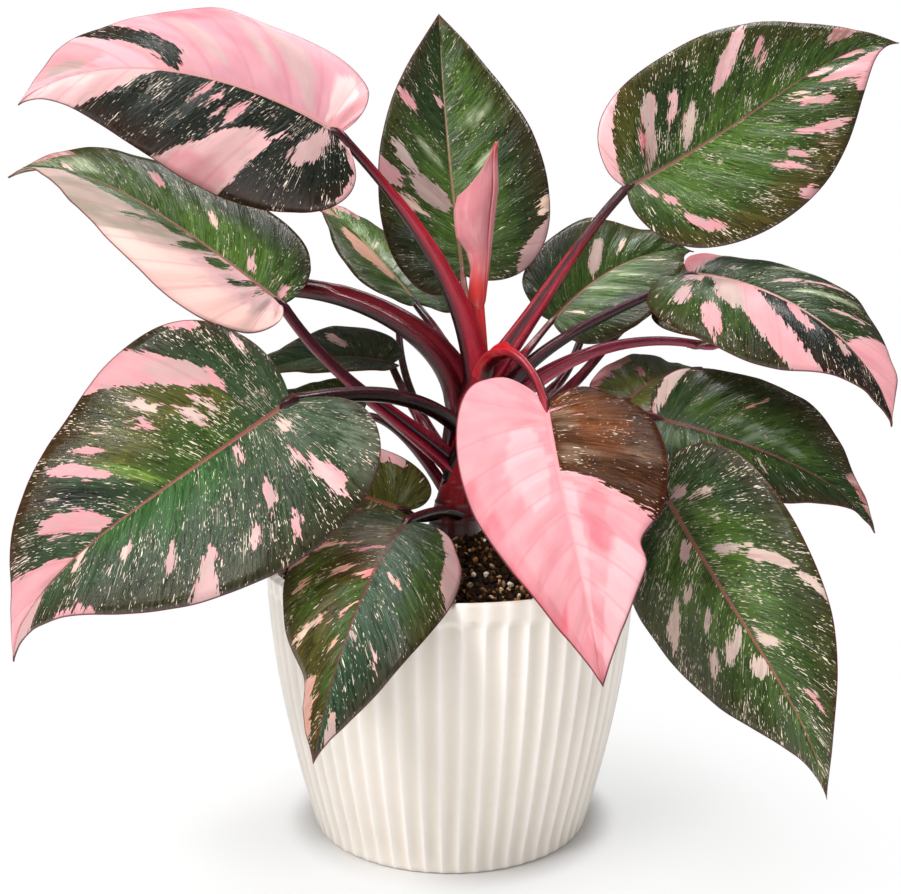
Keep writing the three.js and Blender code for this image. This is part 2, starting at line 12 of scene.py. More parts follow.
import bpy
import numpy as np
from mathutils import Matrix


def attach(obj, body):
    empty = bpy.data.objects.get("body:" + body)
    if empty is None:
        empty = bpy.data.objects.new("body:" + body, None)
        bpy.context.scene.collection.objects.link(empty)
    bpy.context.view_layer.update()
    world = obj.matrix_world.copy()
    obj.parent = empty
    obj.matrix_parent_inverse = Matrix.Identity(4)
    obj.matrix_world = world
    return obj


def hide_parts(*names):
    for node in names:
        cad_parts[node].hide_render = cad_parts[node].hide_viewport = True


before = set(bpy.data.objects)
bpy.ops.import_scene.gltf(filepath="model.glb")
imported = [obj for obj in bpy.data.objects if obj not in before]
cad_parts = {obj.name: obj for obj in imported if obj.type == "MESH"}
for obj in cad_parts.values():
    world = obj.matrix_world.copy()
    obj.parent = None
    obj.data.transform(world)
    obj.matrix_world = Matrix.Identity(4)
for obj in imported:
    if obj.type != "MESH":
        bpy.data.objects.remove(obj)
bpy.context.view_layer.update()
scene = bpy.context.scene
MM = 0.001
print("CAD nodes:", len(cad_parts))

# %% [markdown]
# ## Camera, lights and floor
# The plant was set up as a studio still life: white all round, one big soft light high on the
# left, and a weaker one from the right. A world colour alone would make every waxy leaf look
# milky, since each blade would mirror a white sky. So only the camera sees the white, and the
# light that falls on the plant from all round is much weaker.

# %% Camera
CAMERA_PLACE = (0.0, -0.480, 0.2178)
CAMERA_PITCH = 5.4        # degrees below the horizon
CAMERA_LENS = 41.95       # mm, on a sensor 36 mm wide

camera_data = bpy.data.cameras.new("camera")
camera_data.lens = CAMERA_LENS
camera_data.sensor_width = 36
camera_data.clip_start = 0.01
camera = bpy.data.objects.new("camera", camera_data)
camera.location = CAMERA_PLACE
camera.rotation_euler = (math.radians(90 - CAMERA_PITCH), 0, 0)
scene.collection.objects.link(camera)
scene.camera = camera
print("camera at", CAMERA_PLACE)


# %% Helpers for node trees
def join(tree, socket, value):
    """Links another node's output to a socket, or sets the socket's own value."""
    if isinstance(value, bpy.types.NodeSocket):
        tree.links.new(value, socket)
    else:
        socket.default_value = value


def put(tree, kind, inputs=None, **settings):
    """A new node with its settings, and its inputs linked or set."""
    node = tree.nodes.new(kind)
    for name, value in settings.items():
        setattr(node, name, value)
    for key, value in (inputs or {}).items():
        join(tree, node.inputs[key], value)
    return node


def calc(tree, operation, a, b=0.0, c=0.0):
    """The result of a Math node."""
    return put(tree, "ShaderNodeMath", {0: a, 1: b, 2: c}, operation=operation).outputs[0]


def scaled(tree, vector, amount):
    """A vector made longer, or a colour made brighter."""
    return put(tree, "ShaderNodeVectorMath", {0: vector, "Scale": amount},
               operation="SCALE").outputs[0]


def step_between(tree, value, low, high, kind="SMOOTHSTEP"):
    """0 below low, 1 above high, and a soft step between them."""
    node = put(tree, "ShaderNodeMapRange", {"Value": value, "From Min": low, "From Max": high},
               interpolation_type=kind)
    return node.outputs["Result"]


def blend(tree, share, a, b):
    """Two colours mixed."""
    node = put(tree, "ShaderNodeMix", {"Factor": share, 6: a, 7: b}, data_type="RGBA")
    return node.outputs[2]


print("node helpers: join, put, calc, scaled, step_between, blend")


# %% Helpers for materials
def linear(code):
    """A screen colour, as six hex digits, in the linear light that shaders work in."""
    parts = np.array([int(code[i:i + 2], 16) / 255 for i in (0, 2, 4)])
    return np.where(parts <= 0.04045, parts / 12.92, ((parts + 0.055) / 1.055) ** 2.4)


def tint(code):
    """The same colour as a socket takes it."""
    return (*linear(code), 1.0)


def new_material(name, **constants):
    """A material with its tree, its Principled shader and constant values on the shader."""
    material = bpy.data.materials.new(name)
    material.use_nodes = True
    tree = material.node_tree
    shader = tree.nodes["Principled BSDF"]
    for key, value in constants.items():
        shader.inputs[key.replace("_", " ")].default_value = value
    return material, tree, shader


def stored(tree, name, output="Fac"):
    """A value that was stored on the mesh while it was made."""
    return put(tree, "ShaderNodeAttribute", attribute_name=name).outputs[output]


def on_object(tree):
    """Object coordinates, in metres."""
    return put(tree, "ShaderNodeTexCoord").outputs["Object"]


def emboss(tree, shader, height, strength, distance):
    """Fine relief on the shader's normal."""
    bump = put(tree, "ShaderNodeBump",
               {"Height": height, "Strength": strength, "Distance": distance})
    join(tree, shader.inputs["Normal"], bump.outputs["Normal"])


print("mid grey in linear light:", np.round(linear("808080"), 3))

# %% World
SKY = 0.38                # strength of the light from all round
SKY_MIRRORED = 0.12       # what glossy skins mirror of it
world = bpy.data.worlds.new("studio")
scene.world = world
world.use_nodes = True
sky = world.node_tree
sky.nodes.clear()
rays = put(sky, "ShaderNodeLightPath").outputs
soft = put(sky, "ShaderNodeBackground", {"Color": (1.0, 0.985, 0.965, 1), "Strength": SKY})
dim = put(sky, "ShaderNodeBackground", {"Color": (0.95, 0.98, 1.0, 1), "Strength": SKY_MIRRORED})
white = put(sky, "ShaderNodeBackground", {"Color": (1, 1, 1, 1), "Strength": 1.0})
lit = put(sky, "ShaderNodeMixShader",
          {0: rays["Is Glossy Ray"], 1: soft.outputs[0], 2: dim.outputs[0]})
either = put(sky, "ShaderNodeMixShader",
             {0: rays["Is Camera Ray"], 1: lit.outputs[0], 2: white.outputs[0]})
put(sky, "ShaderNodeOutputWorld", {0: either.outputs[0]})
scene.view_settings.view_transform = "Standard"
print("world:", world.name)


# %% Lamps
def softbox(name, place, target, width, height, power, mirrored, colour=(1, 1, 1)):
    """A rectangular lamp that faces a point. Glossy skins mirror it only if asked to."""
    data = bpy.data.lights.new(name, "AREA")
    data.shape = "RECTANGLE"
    data.size = width
    data.size_y = height
    data.energy = power
    data.color = colour
    lamp = bpy.data.objects.new(name, data)
    lamp.location = place
    away = np.array(target) - np.array(place)
    flat = math.hypot(away[0], away[1])
    lamp.rotation_euler = (math.atan2(flat, -away[2]), 0, math.atan2(away[1], away[0]) - math.pi / 2)
    lamp.visible_glossy = mirrored
    scene.collection.objects.link(lamp)


LAMPS = [
    ("key", (-0.85, -0.75, 1.20), (0, 0, 0.2), 0.65, 0.65, 19.0, False, (1.0, 0.985, 0.96)),
    ("fill", (1.2, -0.9, 0.7), (0, 0, 0.2), 0.8, 0.8, 2.8, False),
    ("front", (-0.5, -1.5, 0.3), (0, 0, 0.1), 1.2, 0.4, 2.0, False),
    ("top", (0.15, 0.30, 1.4), (0, 0, 0.2), 0.9, 0.6, 14.0, False),
    ("bar", (0.25, 0.35, 1.35), (0, 0, 0.25), 1.0, 0.12, 5.5, True),
    ("strip", (-0.70, -0.60, 1.25), (0, 0, 0.25), 0.12, 0.8, 4.5, True),
]
for lamp in LAMPS:
    softbox(*lamp)
print("lamps:", [lamp[0] for lamp in LAMPS])

# %% Floor
FLOOR_HALF = 9                  # m
NEAR_FADE = (0.0625, 0.080)     # m from the middle, where most of the pot's shadow bleaches out
NEAR_SHARE = 0.66
FAR_FADE = (0.08, 0.22)         # where the rest of it does

corners = [(-FLOOR_HALF, -FLOOR_HALF, 0), (FLOOR_HALF, -FLOOR_HALF, 0),
           (FLOOR_HALF, FLOOR_HALF, 0), (-FLOOR_HALF, FLOOR_HALF, 0)]
floor_mesh = bpy.data.meshes.new("floor")
floor_mesh.from_pydata(corners, [], [(0, 1, 2, 3)])
floor = bpy.data.objects.new("floor", floor_mesh)
scene.collection.objects.link(floor)

floor_finish, tree, shader = new_material("floor_white", Roughness=0.9, Specular_IOR_Level=0.1)
place = on_object(tree)
cloud = put(tree, "ShaderNodeTexNoise", {"Vector": place, "Scale": 3.0}).outputs["Fac"]
join(tree, shader.inputs["Base Color"],
     blend(tree, cloud, (0.74, 0.74, 0.74, 1), (0.77, 0.77, 0.77, 1)))
away = put(tree, "ShaderNodeVectorMath", {0: place}, operation="LENGTH").outputs["Value"]
bleach = calc(tree, "MULTIPLY", step_between(tree, away, *NEAR_FADE), NEAR_SHARE)
bleach = calc(tree, "MULTIPLY_ADD", step_between(tree, away, *FAR_FADE), 1 - NEAR_SHARE, bleach)
bleach = calc(tree, "MULTIPLY", bleach, put(tree, "ShaderNodeLightPath").outputs["Is Camera Ray"])
glow = put(tree, "ShaderNodeEmission", {"Color": (1, 1, 1, 1), "Strength": 1.0})
fade = put(tree, "ShaderNodeMixShader", {0: bleach, 1: shader.outputs[0], 2: glow.outputs[0]})
join(tree, tree.nodes["Material Output"].inputs["Surface"], fade.outputs[0])
floor_mesh.materials.append(floor_finish)
print("floor:", 2 * FLOOR_HALF, "m square")

# %% [markdown]
# ## Ceramic pot
# The pot is a slip-cast bowl shape, open at the top, with 58 shallow scoops down its outside
# that end in little arches under a plain band. It could be a lathed profile with a repeated
# cutter, but cutting 58 grooves leaves ragged meshes. Here the radius of each point is worked
# out from its height and its place within a flute, so the wall is one clean grid of quads, and
# the same grid runs over the rim and down the inside to close it.

# %% Profile of the pot
POT_HEIGHT = 119.5
RIM_RADIUS = 84.0
BASE_RADIUS = 63.0
POT_SWELL = 1.7           # how soon the wall flares out above the foot
POT_WALL = 4.6
POT_FLOOR = 6.0
POT_BAND = 6.0
FOOT_CHAMFER = 1.2


def smooth_step(low, high, x):
    """0 below low, 1 above high, and a soft step between them, for arrays."""
    t = np.clip((x - low) / (high - low), 0, 1)
    return t * t * (3 - 2 * t)


def pot_radius(z):
    """Outer radius of the pot's body, without its flutes."""
    t = np.clip(z / POT_HEIGHT, 0, 1)
    return BASE_RADIUS + (RIM_RADIUS - BASE_RADIUS) * (1 - (1 - t) ** POT_SWELL)


print("radius half way up, mm:", round(float(pot_radius(POT_HEIGHT / 2)), 1))


# %% Helpers for meshes
def grid_faces(rows, columns):
    """Quads of a grid that closes round its columns."""
    index = np.arange(rows * columns).reshape(rows, columns)
    right = np.roll(index, -1, axis=1)
    quads = np.stack([index[:-1], right[:-1], right[1:], index[1:]], axis=-1)
    return quads.reshape(-1, 4).tolist()


def tube_faces(rows, sides):
    """Faces of a tube through rings, closed at both ends by a fan to one more point each."""
    faces = grid_faces(rows, sides)
    first, last = rows * sides, rows * sides + 1
    for k in range(sides):
        after = (k + 1) % sides
        faces.append([after, k, first])
        faces.append([(rows - 1) * sides + k, (rows - 1) * sides + after, last])
    return faces


def mesh_object(name, points, faces, materials):
    """A smooth mesh object at the origin, from points in millimetres."""
    mesh = bpy.data.meshes.new(name)
    mesh.from_pydata((np.asarray(points, float) * MM).tolist(), [], faces)
    mesh.polygons.foreach_set("use_smooth", [True] * len(mesh.polygons))
    for material in materials:
        mesh.materials.append(material)
    made = bpy.data.objects.new(name, mesh)
    scene.collection.objects.link(made)
    return made


def settle(piece, slot, *nodes):
    """A finished piece rides on the one body and stands for its CAD nodes."""
    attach(piece, "root")
    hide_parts(*nodes)
    triangles = sum(len(p.vertices) - 2 for p in piece.data.polygons)
    print(f"{piece.name}: {triangles} triangles")


print("a tube of 3 rings with 4 sides has", len(tube_faces(3, 4)), "faces")

# %% Flutes
FLUTES = 58
FLUTE_DEPTH = 1.9
FLUTE_STEPS = 12          # points across one flute
FLUTES_END = POT_HEIGHT - POT_BAND
FLUTES_START = 9          # height at which they have come out of the foot
ARCH = 3.2                # height of the little arches at their tops

columns = FLUTES * FLUTE_STEPS
turn = np.arange(columns) / columns * 2 * math.pi
across = (np.arange(columns) % FLUTE_STEPS) / FLUTE_STEPS * 2 - 1    # -1 and 1 on the ridges
scoop = (1 - across ** 2) * FLUTE_DEPTH
arch = FLUTES_END - 0.5 - ARCH * (1 - np.sqrt(1 - np.clip(np.abs(across), 0, 0.98) ** 2))
print("columns:", columns)

# %% Rings of the pot
LIP = 1.9                 # height of the rounded lip

rings = []                # one pair for each ring: the radius of each point, and the height
for z in [0.0, 0.3, 0.7, FOOT_CHAMFER, 3.0, 6, 9]:
    inset = FOOT_CHAMFER * (1 - min(1, z / FOOT_CHAMFER)) ** 1.5
    rings.append((pot_radius(z) - inset - scoop * (0.15 + 0.75 * smooth_step(0, FLUTES_START, z)), z))
for z in np.linspace(13, FLUTES_END - 9, 26):
    rings.append((pot_radius(z) - scoop * 0.95, z))
for z in np.linspace(FLUTES_END - 8, FLUTES_END, 16):
    rings.append((pot_radius(z) - scoop * 0.95 * smooth_step(0, ARCH, arch - z), z))
for z in [POT_HEIGHT - 4.5, POT_HEIGHT - 3.0]:
    rings.append((np.full(columns, pot_radius(z) + 0.1), z))
for angle in np.linspace(0, math.pi, 9):
    half = POT_WALL / 2
    rings.append((np.full(columns, RIM_RADIUS + 0.3 - half + half * math.cos(angle)),
                  POT_HEIGHT - LIP + LIP * math.sin(angle)))
for z in [POT_HEIGHT - 4, POT_HEIGHT - 9, 85, 45, 16, POT_FLOOR + 2]:
    rings.append((np.full(columns, pot_radius(z) - POT_WALL), z))
rings.append((np.full(columns, pot_radius(POT_FLOOR) - POT_WALL - 4), POT_FLOOR))

pot_points = [(r * np.cos(turn), r * np.sin(turn), np.full(columns, z)) for r, z in rings]
pot_points = np.transpose(np.array(pot_points), (0, 2, 1)).reshape(-1, 3)
pot_points = np.vstack([pot_points, [[0, 0, 0], [0, 0, POT_FLOOR]]])
pot_faces = tube_faces(len(rings), columns)
ridge_line = np.concatenate([np.tile(across ** 2, len(rings)), [0, 0]])
print("pot rings:", len(rings))

# %% [markdown]
# ### Satin glaze
# A satin glaze is never one colour. It runs thin over crisp ridges, where the pale clay shows,
# and pools in the scoops, where it is a little warmer and glossier. Here the scoops are also
# painted darker, as painted shade, and the ridges lighter, as a painted highlight. The ridge
# measure is known while the mesh is made, so it is kept as an attribute of the points, and the
# material reads it.
# Fine noise on Object coordinates adds the faint orange peel that a glaze has.

# %% Shader group: faint mottle
FLOAT, COLOUR, VECTOR = "NodeSocketFloat", "NodeSocketColor", "NodeSocketVector"


def start_group(name, inputs, outputs):
    """A shader node group with named sockets. Inputs are (name, kind, value)."""
    group = bpy.data.node_groups.new(name, "ShaderNodeTree")
    for label, kind, value in inputs:
        socket = group.interface.new_socket(label, in_out="INPUT", socket_type=kind)
        if value is not None:
            socket.default_value = value
    for label, kind in outputs:
        group.interface.new_socket(label, in_out="OUTPUT", socket_type=kind)
    return group, group.nodes.new("NodeGroupInput").outputs, group.nodes.new("NodeGroupOutput").inputs


def group_node(tree, group, inputs):
    """A group placed in a tree, with its inputs linked or set."""
    node = tree.nodes.new("ShaderNodeGroup")
    node.node_tree = group
    for key, value in inputs.items():
        join(tree, node.inputs[key], value)
    return node


mottle, given, result = start_group(
    "mottle", [("Vector", VECTOR, None), ("Size", FLOAT, 0.01), ("Amount", FLOAT, 0.1),
               ("Color", COLOUR, (1, 1, 1, 1))],
    [("Color", COLOUR), ("Fac", FLOAT), ("Grain", FLOAT)])
scale = calc(mottle, "DIVIDE", 1.0, given["Size"])
broad = put(mottle, "ShaderNodeTexNoise",
            {"Vector": given["Vector"], "Scale": scale, "Detail": 3.0, "Roughness": 0.55})
fine = put(mottle, "ShaderNodeTexNoise",
           {"Vector": given["Vector"], "Scale": calc(mottle, "MULTIPLY", scale, 9.0),
            "Detail": 4.0, "Roughness": 0.6})
both = calc(mottle, "MULTIPLY_ADD", fine.outputs["Fac"], 0.35,
            calc(mottle, "MULTIPLY", broad.outputs["Fac"], 0.65))
bright = calc(mottle, "MULTIPLY_ADD", calc(mottle, "SUBTRACT", both, 0.5),
              calc(mottle, "MULTIPLY", given["Amount"], 4.0), 1.0)
join(mottle, result["Color"], scaled(mottle, given["Color"], bright))
join(mottle, result["Fac"], both)
join(mottle, result["Grain"], fine.outputs["Fac"])
print("group made:", mottle.name)

# %% Glaze and finished pot
GLAZE_POOL_AND_SHADE = tint("e2d9ce")
GLAZE_THIN_AND_HIGHLIGHT = tint("fbf6f1")

glaze, tree, shader = new_material("satin_glaze", Specular_IOR_Level=0.5, Coat_Weight=0.25,
                                   Coat_Roughness=0.3)
# Pool colour in the scoops and thin colour on the ridges: partly the glaze itself, partly painted
# shade and a painted highlight.
base = blend(tree, stored(tree, "ridge"), GLAZE_POOL_AND_SHADE, GLAZE_THIN_AND_HIGHLIGHT)
mottled = group_node(tree, mottle, {"Vector": on_object(tree), "Size": 0.02, "Amount": 0.035,
                                    "Color": base})
join(tree, shader.inputs["Base Color"], mottled.outputs["Color"])
rough = step_between(tree, mottled.outputs["Fac"], 0.2, 0.8, "LINEAR")
join(tree, shader.inputs["Roughness"], calc(tree, "MULTIPLY_ADD", rough, 0.12, 0.36))
emboss(tree, shader, mottled.outputs["Grain"], 0.12, 0.0003)

pot = mesh_object("fluted_pot", pot_points, pot_faces, [glaze])
pot.data.attributes.new("ridge", "FLOAT", "POINT").data.foreach_set("value", ridge_line)
settle(pot, "pot", "pot")

# %% [markdown]
# ## Potting mix
# An aroid mix is open and chunky: dark composted bark, lighter bark chips and white perlite.
# The ground under it is a small mound of fine, nearly black crumbs. A displaced disc is enough
# for that, because hardly any of it shows between the chips.

# %% Height of the mound
SOIL_EDGE = 112.5         # height against the wall
SOIL_CROWN = 134.0        # height round the stem
STEM_FOOT = (2.0, 5.0)
GAP = 0.3


def soil_height(x, y):
    """The mound rises from the wall to the foot of the stem."""
    edge = pot_radius(SOIL_EDGE) - POT_WALL
    away = np.minimum(1, np.hypot(x - STEM_FOOT[0], y - STEM_FOOT[1]) / edge)
    return SOIL_EDGE + (SOIL_CROWN - SOIL_EDGE) * (0.5 + 0.5 * np.cos(math.pi * away ** 0.8))


print("height at the middle of the pot, mm:", round(float(soil_height(0, 0)), 1))

# %% Mound
MOUND_SIDES = 120
MOUND_RINGS = 40
CRUMB = 0.55              # mm, how uneven the crumbs leave the ground
dice = np.random.default_rng(11)

edge = float(pot_radius(SOIL_EDGE)) - POT_WALL - GAP
turn = np.arange(MOUND_SIDES) / MOUND_SIDES * 2 * math.pi
points = [np.stack([r * np.cos(turn), r * np.sin(turn), np.full(MOUND_SIDES, z)], -1)
          for r, z in [(edge - 2, SOIL_EDGE - 12), (edge, SOIL_EDGE - 3)]]
for share in np.linspace(1, 0.05, MOUND_RINGS) ** 0.9:
    x, y = edge * share * np.cos(turn), edge * share * np.sin(turn)
    crumb = dice.normal(0, CRUMB, MOUND_SIDES) - 1.2
    points.append(np.stack([x, y, soil_height(x, y) + crumb], -1))
faces = tube_faces(len(points), MOUND_SIDES)
points = np.vstack([*points, [[0, 0, SOIL_EDGE - 12], [0, 0, SOIL_CROWN - 1.5]]])

crumbs, tree, shader = new_material("dark_crumbs", Roughness=0.95, Specular_IOR_Level=0.25)
place = on_object(tree)
grit = put(tree, "ShaderNodeTexVoronoi", {"Vector": place, "Scale": 900.0}).outputs["Distance"]
dark = blend(tree, step_between(tree, grit, 0.1, 0.7), tint("2e1f14"), tint("0d0906"))
loam = group_node(tree, mottle, {"Vector": place, "Size": 0.006, "Amount": 0.25, "Color": dark})
join(tree, shader.inputs["Base Color"], loam.outputs["Color"])
emboss(tree, shader, grit, 0.8, 0.0012)
mound = mesh_object("potting_mix", points, faces, [crumbs])
settle(mound, "soil", "soil")

# %% [markdown]
# ### Chips and perlite
# Thousands of chips are the same few facets over and over, turned and stretched at random, which
# is just what Geometry Nodes are for. One tree scatters points on the mound, puts a small ball
# on each, makes every ball real and then pushes its points about with noise that is read in
# space, so no two chips come out alike. Its size, flatness, number and seed are inputs, so the
# same tree makes bark and perlite. Each chip also keeps one random number for its colour.

# %% Scatter tree: its inputs and the places of the chips
WHOLE, MESH, FINISH = "NodeSocketInt", "NodeSocketGeometry", "NodeSocketMaterial"
UPWARD = 0.45             # only faces that look up at least this much carry chips

scatter = bpy.data.node_groups.new("scatter_chips", "GeometryNodeTree")
for label, kind in [("Geometry", MESH), ("Density", FLOAT), ("Smallest", FLOAT), ("Largest", FLOAT),
                    ("Flatness", FLOAT), ("Crumple", FLOAT), ("Lift", FLOAT), ("Seed", WHOLE),
                    ("Facets", WHOLE), ("Material", FINISH)]:
    scatter.interface.new_socket(label, in_out="INPUT", socket_type=kind)
scatter.interface.new_socket("Geometry", in_out="OUTPUT", socket_type=MESH)
given = scatter.nodes.new("NodeGroupInput").outputs
up = put(scatter, "ShaderNodeSeparateXYZ", {0: put(scatter, "GeometryNodeInputNormal").outputs[0]})
level = put(scatter, "FunctionNodeCompare", {0: up.outputs["Z"], 1: UPWARD}, data_type="FLOAT",
            operation="GREATER_THAN")
strewn = put(scatter, "GeometryNodeDistributePointsOnFaces",
             {"Mesh": given["Geometry"], "Selection": level.outputs[0],
              "Density": given["Density"], "Seed": given["Seed"]})
lifted = put(scatter, "GeometryNodeSetPosition",
             {"Geometry": strewn.outputs["Points"],
              "Offset": put(scatter, "ShaderNodeCombineXYZ", {"Z": given["Lift"]}).outputs[0]})
print("tree started:", scatter.name)


# %% Scatter tree: a chip on each place
def by_lot(low, high, seed):
    """A random number between two limits for each place."""
    return put(scatter, "FunctionNodeRandomValue", {2: low, 3: high, "Seed": seed},
               data_type="FLOAT").outputs[1]


ball = put(scatter, "GeometryNodeMeshIcoSphere", {"Radius": 1.0, "Subdivisions": given["Facets"]})
spin = put(scatter, "FunctionNodeRandomValue",
           {"Max": (6.283, 6.283, 6.283), "Seed": given["Seed"]}, data_type="FLOAT_VECTOR")
size = by_lot(given["Smallest"], given["Largest"], given["Seed"])
shape = put(scatter, "ShaderNodeCombineXYZ",
            {"X": 1.0, "Y": by_lot(0.55, 1.0, 5), "Z": given["Flatness"]})
placed = put(scatter, "GeometryNodeInstanceOnPoints",
             {"Points": lifted.outputs[0], "Instance": ball.outputs["Mesh"],
              "Rotation": spin.outputs[0], "Scale": scaled(scatter, shape.outputs[0], size)})
marked = put(scatter, "GeometryNodeStoreNamedAttribute",
             {"Geometry": placed.outputs[0], "Name": "chip", "Value": by_lot(0.0, 1.0, 9)},
             data_type="FLOAT", domain="INSTANCE")
print("each chip keeps its own number as:", marked.inputs["Name"].default_value)

# %% Scatter tree: real, crumpled meshes
real = put(scatter, "GeometryNodeRealizeInstances", {0: marked.outputs[0]})
rumple = put(scatter, "ShaderNodeTexNoise", {"Scale": 650.0, "Detail": 2.0})
centred = put(scatter, "ShaderNodeVectorMath", {0: rumple.outputs["Color"], 1: (0.5, 0.5, 0.5)},
              operation="SUBTRACT")
moved = put(scatter, "GeometryNodeSetPosition",
            {0: real.outputs[0], "Offset": scaled(scatter, centred.outputs[0], given["Crumple"])})
flat = put(scatter, "GeometryNodeSetShadeSmooth", {0: moved.outputs[0], "Shade Smooth": False})
skin = put(scatter, "GeometryNodeSetMaterial", {0: flat.outputs[0], "Material": given["Material"]})
put(scatter, "NodeGroupOutput", {0: skin.outputs[0]})
print("tree made:", scatter.name, len(scatter.nodes), "nodes")


# %% Finishes of the chips
def chip_finish(name, dark_code, light_code, rough, grain=0.0025):
    """Each chip has its own shade between two colours, and a rough, mottled face."""
    material, tree, shader = new_material(name, Specular_IOR_Level=0.3)
    own = blend(tree, stored(tree, "chip"), tint(dark_code), tint(light_code))
    worn = group_node(tree, mottle, {"Vector": on_object(tree), "Size": grain, "Amount": 0.3,
                                     "Color": own})
    join(tree, shader.inputs["Base Color"], worn.outputs["Color"])
    join(tree, shader.inputs["Roughness"],
         calc(tree, "MULTIPLY_ADD", worn.outputs["Fac"], 0.3, rough - 0.15))
    emboss(tree, shader, worn.outputs["Grain"], 0.6, 0.0004)
    return material


# Number in a square metre, smallest and largest radius, flatness, crumple, lift, seed, facets.
CHIPS = {
    "chips_dark": (150000.0, 0.0008, 0.0024, 0.5, 0.0022, 0.0003, 3, 1),
    "chips_tan": (52000.0, 0.0005, 0.0017, 0.45, 0.0020, 0.0009, 21, 1),
    "chips_pale": (15000.0, 0.0007, 0.0022, 0.45, 0.0026, 0.0012, 58, 1),
    "perlite": (5500.0, 0.0006, 0.0019, 0.8, 0.0021, 0.0013, 34, 2),
}
CHIP_FINISHES = {
    "chips_dark": chip_finish("bark_dark", "0e0906", "33200f", 0.85),
    "chips_tan": chip_finish("bark_tan", "331b0c", "9c6c3a", 0.75),
    "chips_pale": chip_finish("bark_pale", "6b482b", "d2b189", 0.7),
    "perlite": chip_finish("perlite_white", "cdbfaa", "f6f0e6", 0.8, 0.001),
}
print("kinds of chips:", list(CHIPS))


# %% Chips on the mound
def strew(name, ground, material, numbers):
    """Runs the scatter tree on a copy of the ground and keeps the result as a plain mesh."""
    carrier = bpy.data.objects.new(name, ground.data.copy())
    scene.collection.objects.link(carrier)
    modifier = carrier.modifiers.new("scatter", "NODES")
    modifier.node_group = scatter
    keys = [item.identifier for item in scatter.interface.items_tree if item.in_out == "INPUT"]
    for key, value in zip(keys[1:], (*numbers, material)):
        modifier[key] = value
    graph = bpy.context.evaluated_depsgraph_get()
    result = bpy.data.meshes.new_from_object(carrier.evaluated_get(graph))
    carrier.modifiers.clear()
    carrier.data = result
    return carrier


for name, numbers in CHIPS.items():
    settle(strew(name, mound, CHIP_FINISHES[name], numbers), "soil")

# %% [markdown]
# ## Stem and petioles
# The stem is short and hidden among the stalks that clasp it. A petiole is a stalk with a channel
# along its upper side. Near the stem the channel's sides stand up as two wings, a sheath that
# once wrapped the next leaf. Sweeping a profile with a curve object would keep one profile all
# the way, so each ring is worked out in code: the round section, less the channel, plus the
# wings, all fading with the distance from the stem. At the top it sinks under the blade and
# thins out as the foot of the midrib.


# %% Curves and tubes
def bezier(corners, t):
    """Points and unit tangents of a cubic curve."""
    p = np.array(corners, float)
    t = np.asarray(t, float)[:, None]
    s = 1 - t
    points = s ** 3 * p[0] + 3 * s * s * t * p[1] + 3 * s * t * t * p[2] + t ** 3 * p[3]
    ahead = 3 * (s * s * (p[1] - p[0]) + 2 * s * t * (p[2] - p[1]) + t * t * (p[3] - p[2]))
    return points, ahead / np.linalg.norm(ahead, axis=1, keepdims=True)


def tube_points(rings):
    """Rings as one list of points, with the middles of the two ends added."""
    rings = np.asarray(rings)
    return np.vstack([rings.reshape(-1, 3), rings[0].mean(0), rings[-1].mean(0)])


def run_of(line):
    """Distance along a line of points, from its start."""
    steps = np.linalg.norm(np.diff(line, axis=0), axis=1)
    return np.concatenate([[0], np.cumsum(steps)])


print("middle of a straight curve:", bezier([(0, 0, 0), (1, 0, 0), (2, 0, 0), (3, 0, 0)], [0.5])[0])


# %% Colours and maps on a mesh
def mixed(a, b, share):
    """Numbers or colours between a and b."""
    return a * (1 - share) + b * share


def set_colours(mesh, name, colours, domain="POINT"):
    """A colour attribute on the points or on the face corners."""
    layer = mesh.color_attributes.new(name, "FLOAT_COLOR", domain)
    full = np.ones((len(layer.data), 4))
    full[:, :3] = colours
    layer.data.foreach_set("color", full.ravel())


def set_uv(mesh, name, values):
    """A UV map from one pair for each face corner."""
    layer = mesh.uv_layers.new(name=name)
    layer.data.foreach_set("uv", np.asarray(values, float).ravel())


def point_uv(mesh, name, values):
    """A UV map from one pair for each point."""
    corners = np.zeros(len(mesh.loops), int)
    mesh.loops.foreach_get("vertex_index", corners)
    set_uv(mesh, name, np.asarray(values)[corners])


def dress_tube(tube, skin, uv):
    """Colours and a UV map for a tube. Its two end points take those of the end rings."""
    set_colours(tube.data, "skin", np.vstack([skin, skin[:1], skin[-1:]]))
    point_uv(tube.data, "skin_mm", np.vstack([uv, uv[:1], uv[-1:]]))


print("halfway from 10 to 20:", mixed(10, 20, 0.5))

# %% Shader group: streaks along a stalk or a vein
streaks, given, result = start_group(
    "streaks", [("Vector", VECTOR, None), ("Across", FLOAT, 1.0), ("Along", FLOAT, 5.0),
                ("Shift", FLOAT, 0.0), ("Detail", FLOAT, 2.0)], [("Fac", FLOAT)])
grid = put(streaks, "ShaderNodeCombineXYZ", {0: given["Across"], 1: given["Along"], 2: 1.0})
shrunk = put(streaks, "ShaderNodeVectorMath", {0: given["Vector"], 1: grid.outputs[0]},
             operation="DIVIDE")
aside = put(streaks, "ShaderNodeCombineXYZ", {2: given["Shift"]})
apart = put(streaks, "ShaderNodeVectorMath", {0: shrunk.outputs[0], 1: aside.outputs[0]},
            operation="ADD")
noise = put(streaks, "ShaderNodeTexNoise",
            {"Vector": apart.outputs[0], "Scale": 1.0, "Detail": given["Detail"]})
join(streaks, result["Fac"], noise.outputs["Fac"])


def streak(tree, vector, across, along, shift=0.0, detail=2.0):
    """Noise between 0 and 1 that is drawn out along the second coordinate."""
    node = group_node(tree, streaks, {"Vector": vector, "Across": across, "Along": along,
                                      "Shift": shift, "Detail": detail})
    return node.outputs["Fac"]


print("group made:", streaks.name)

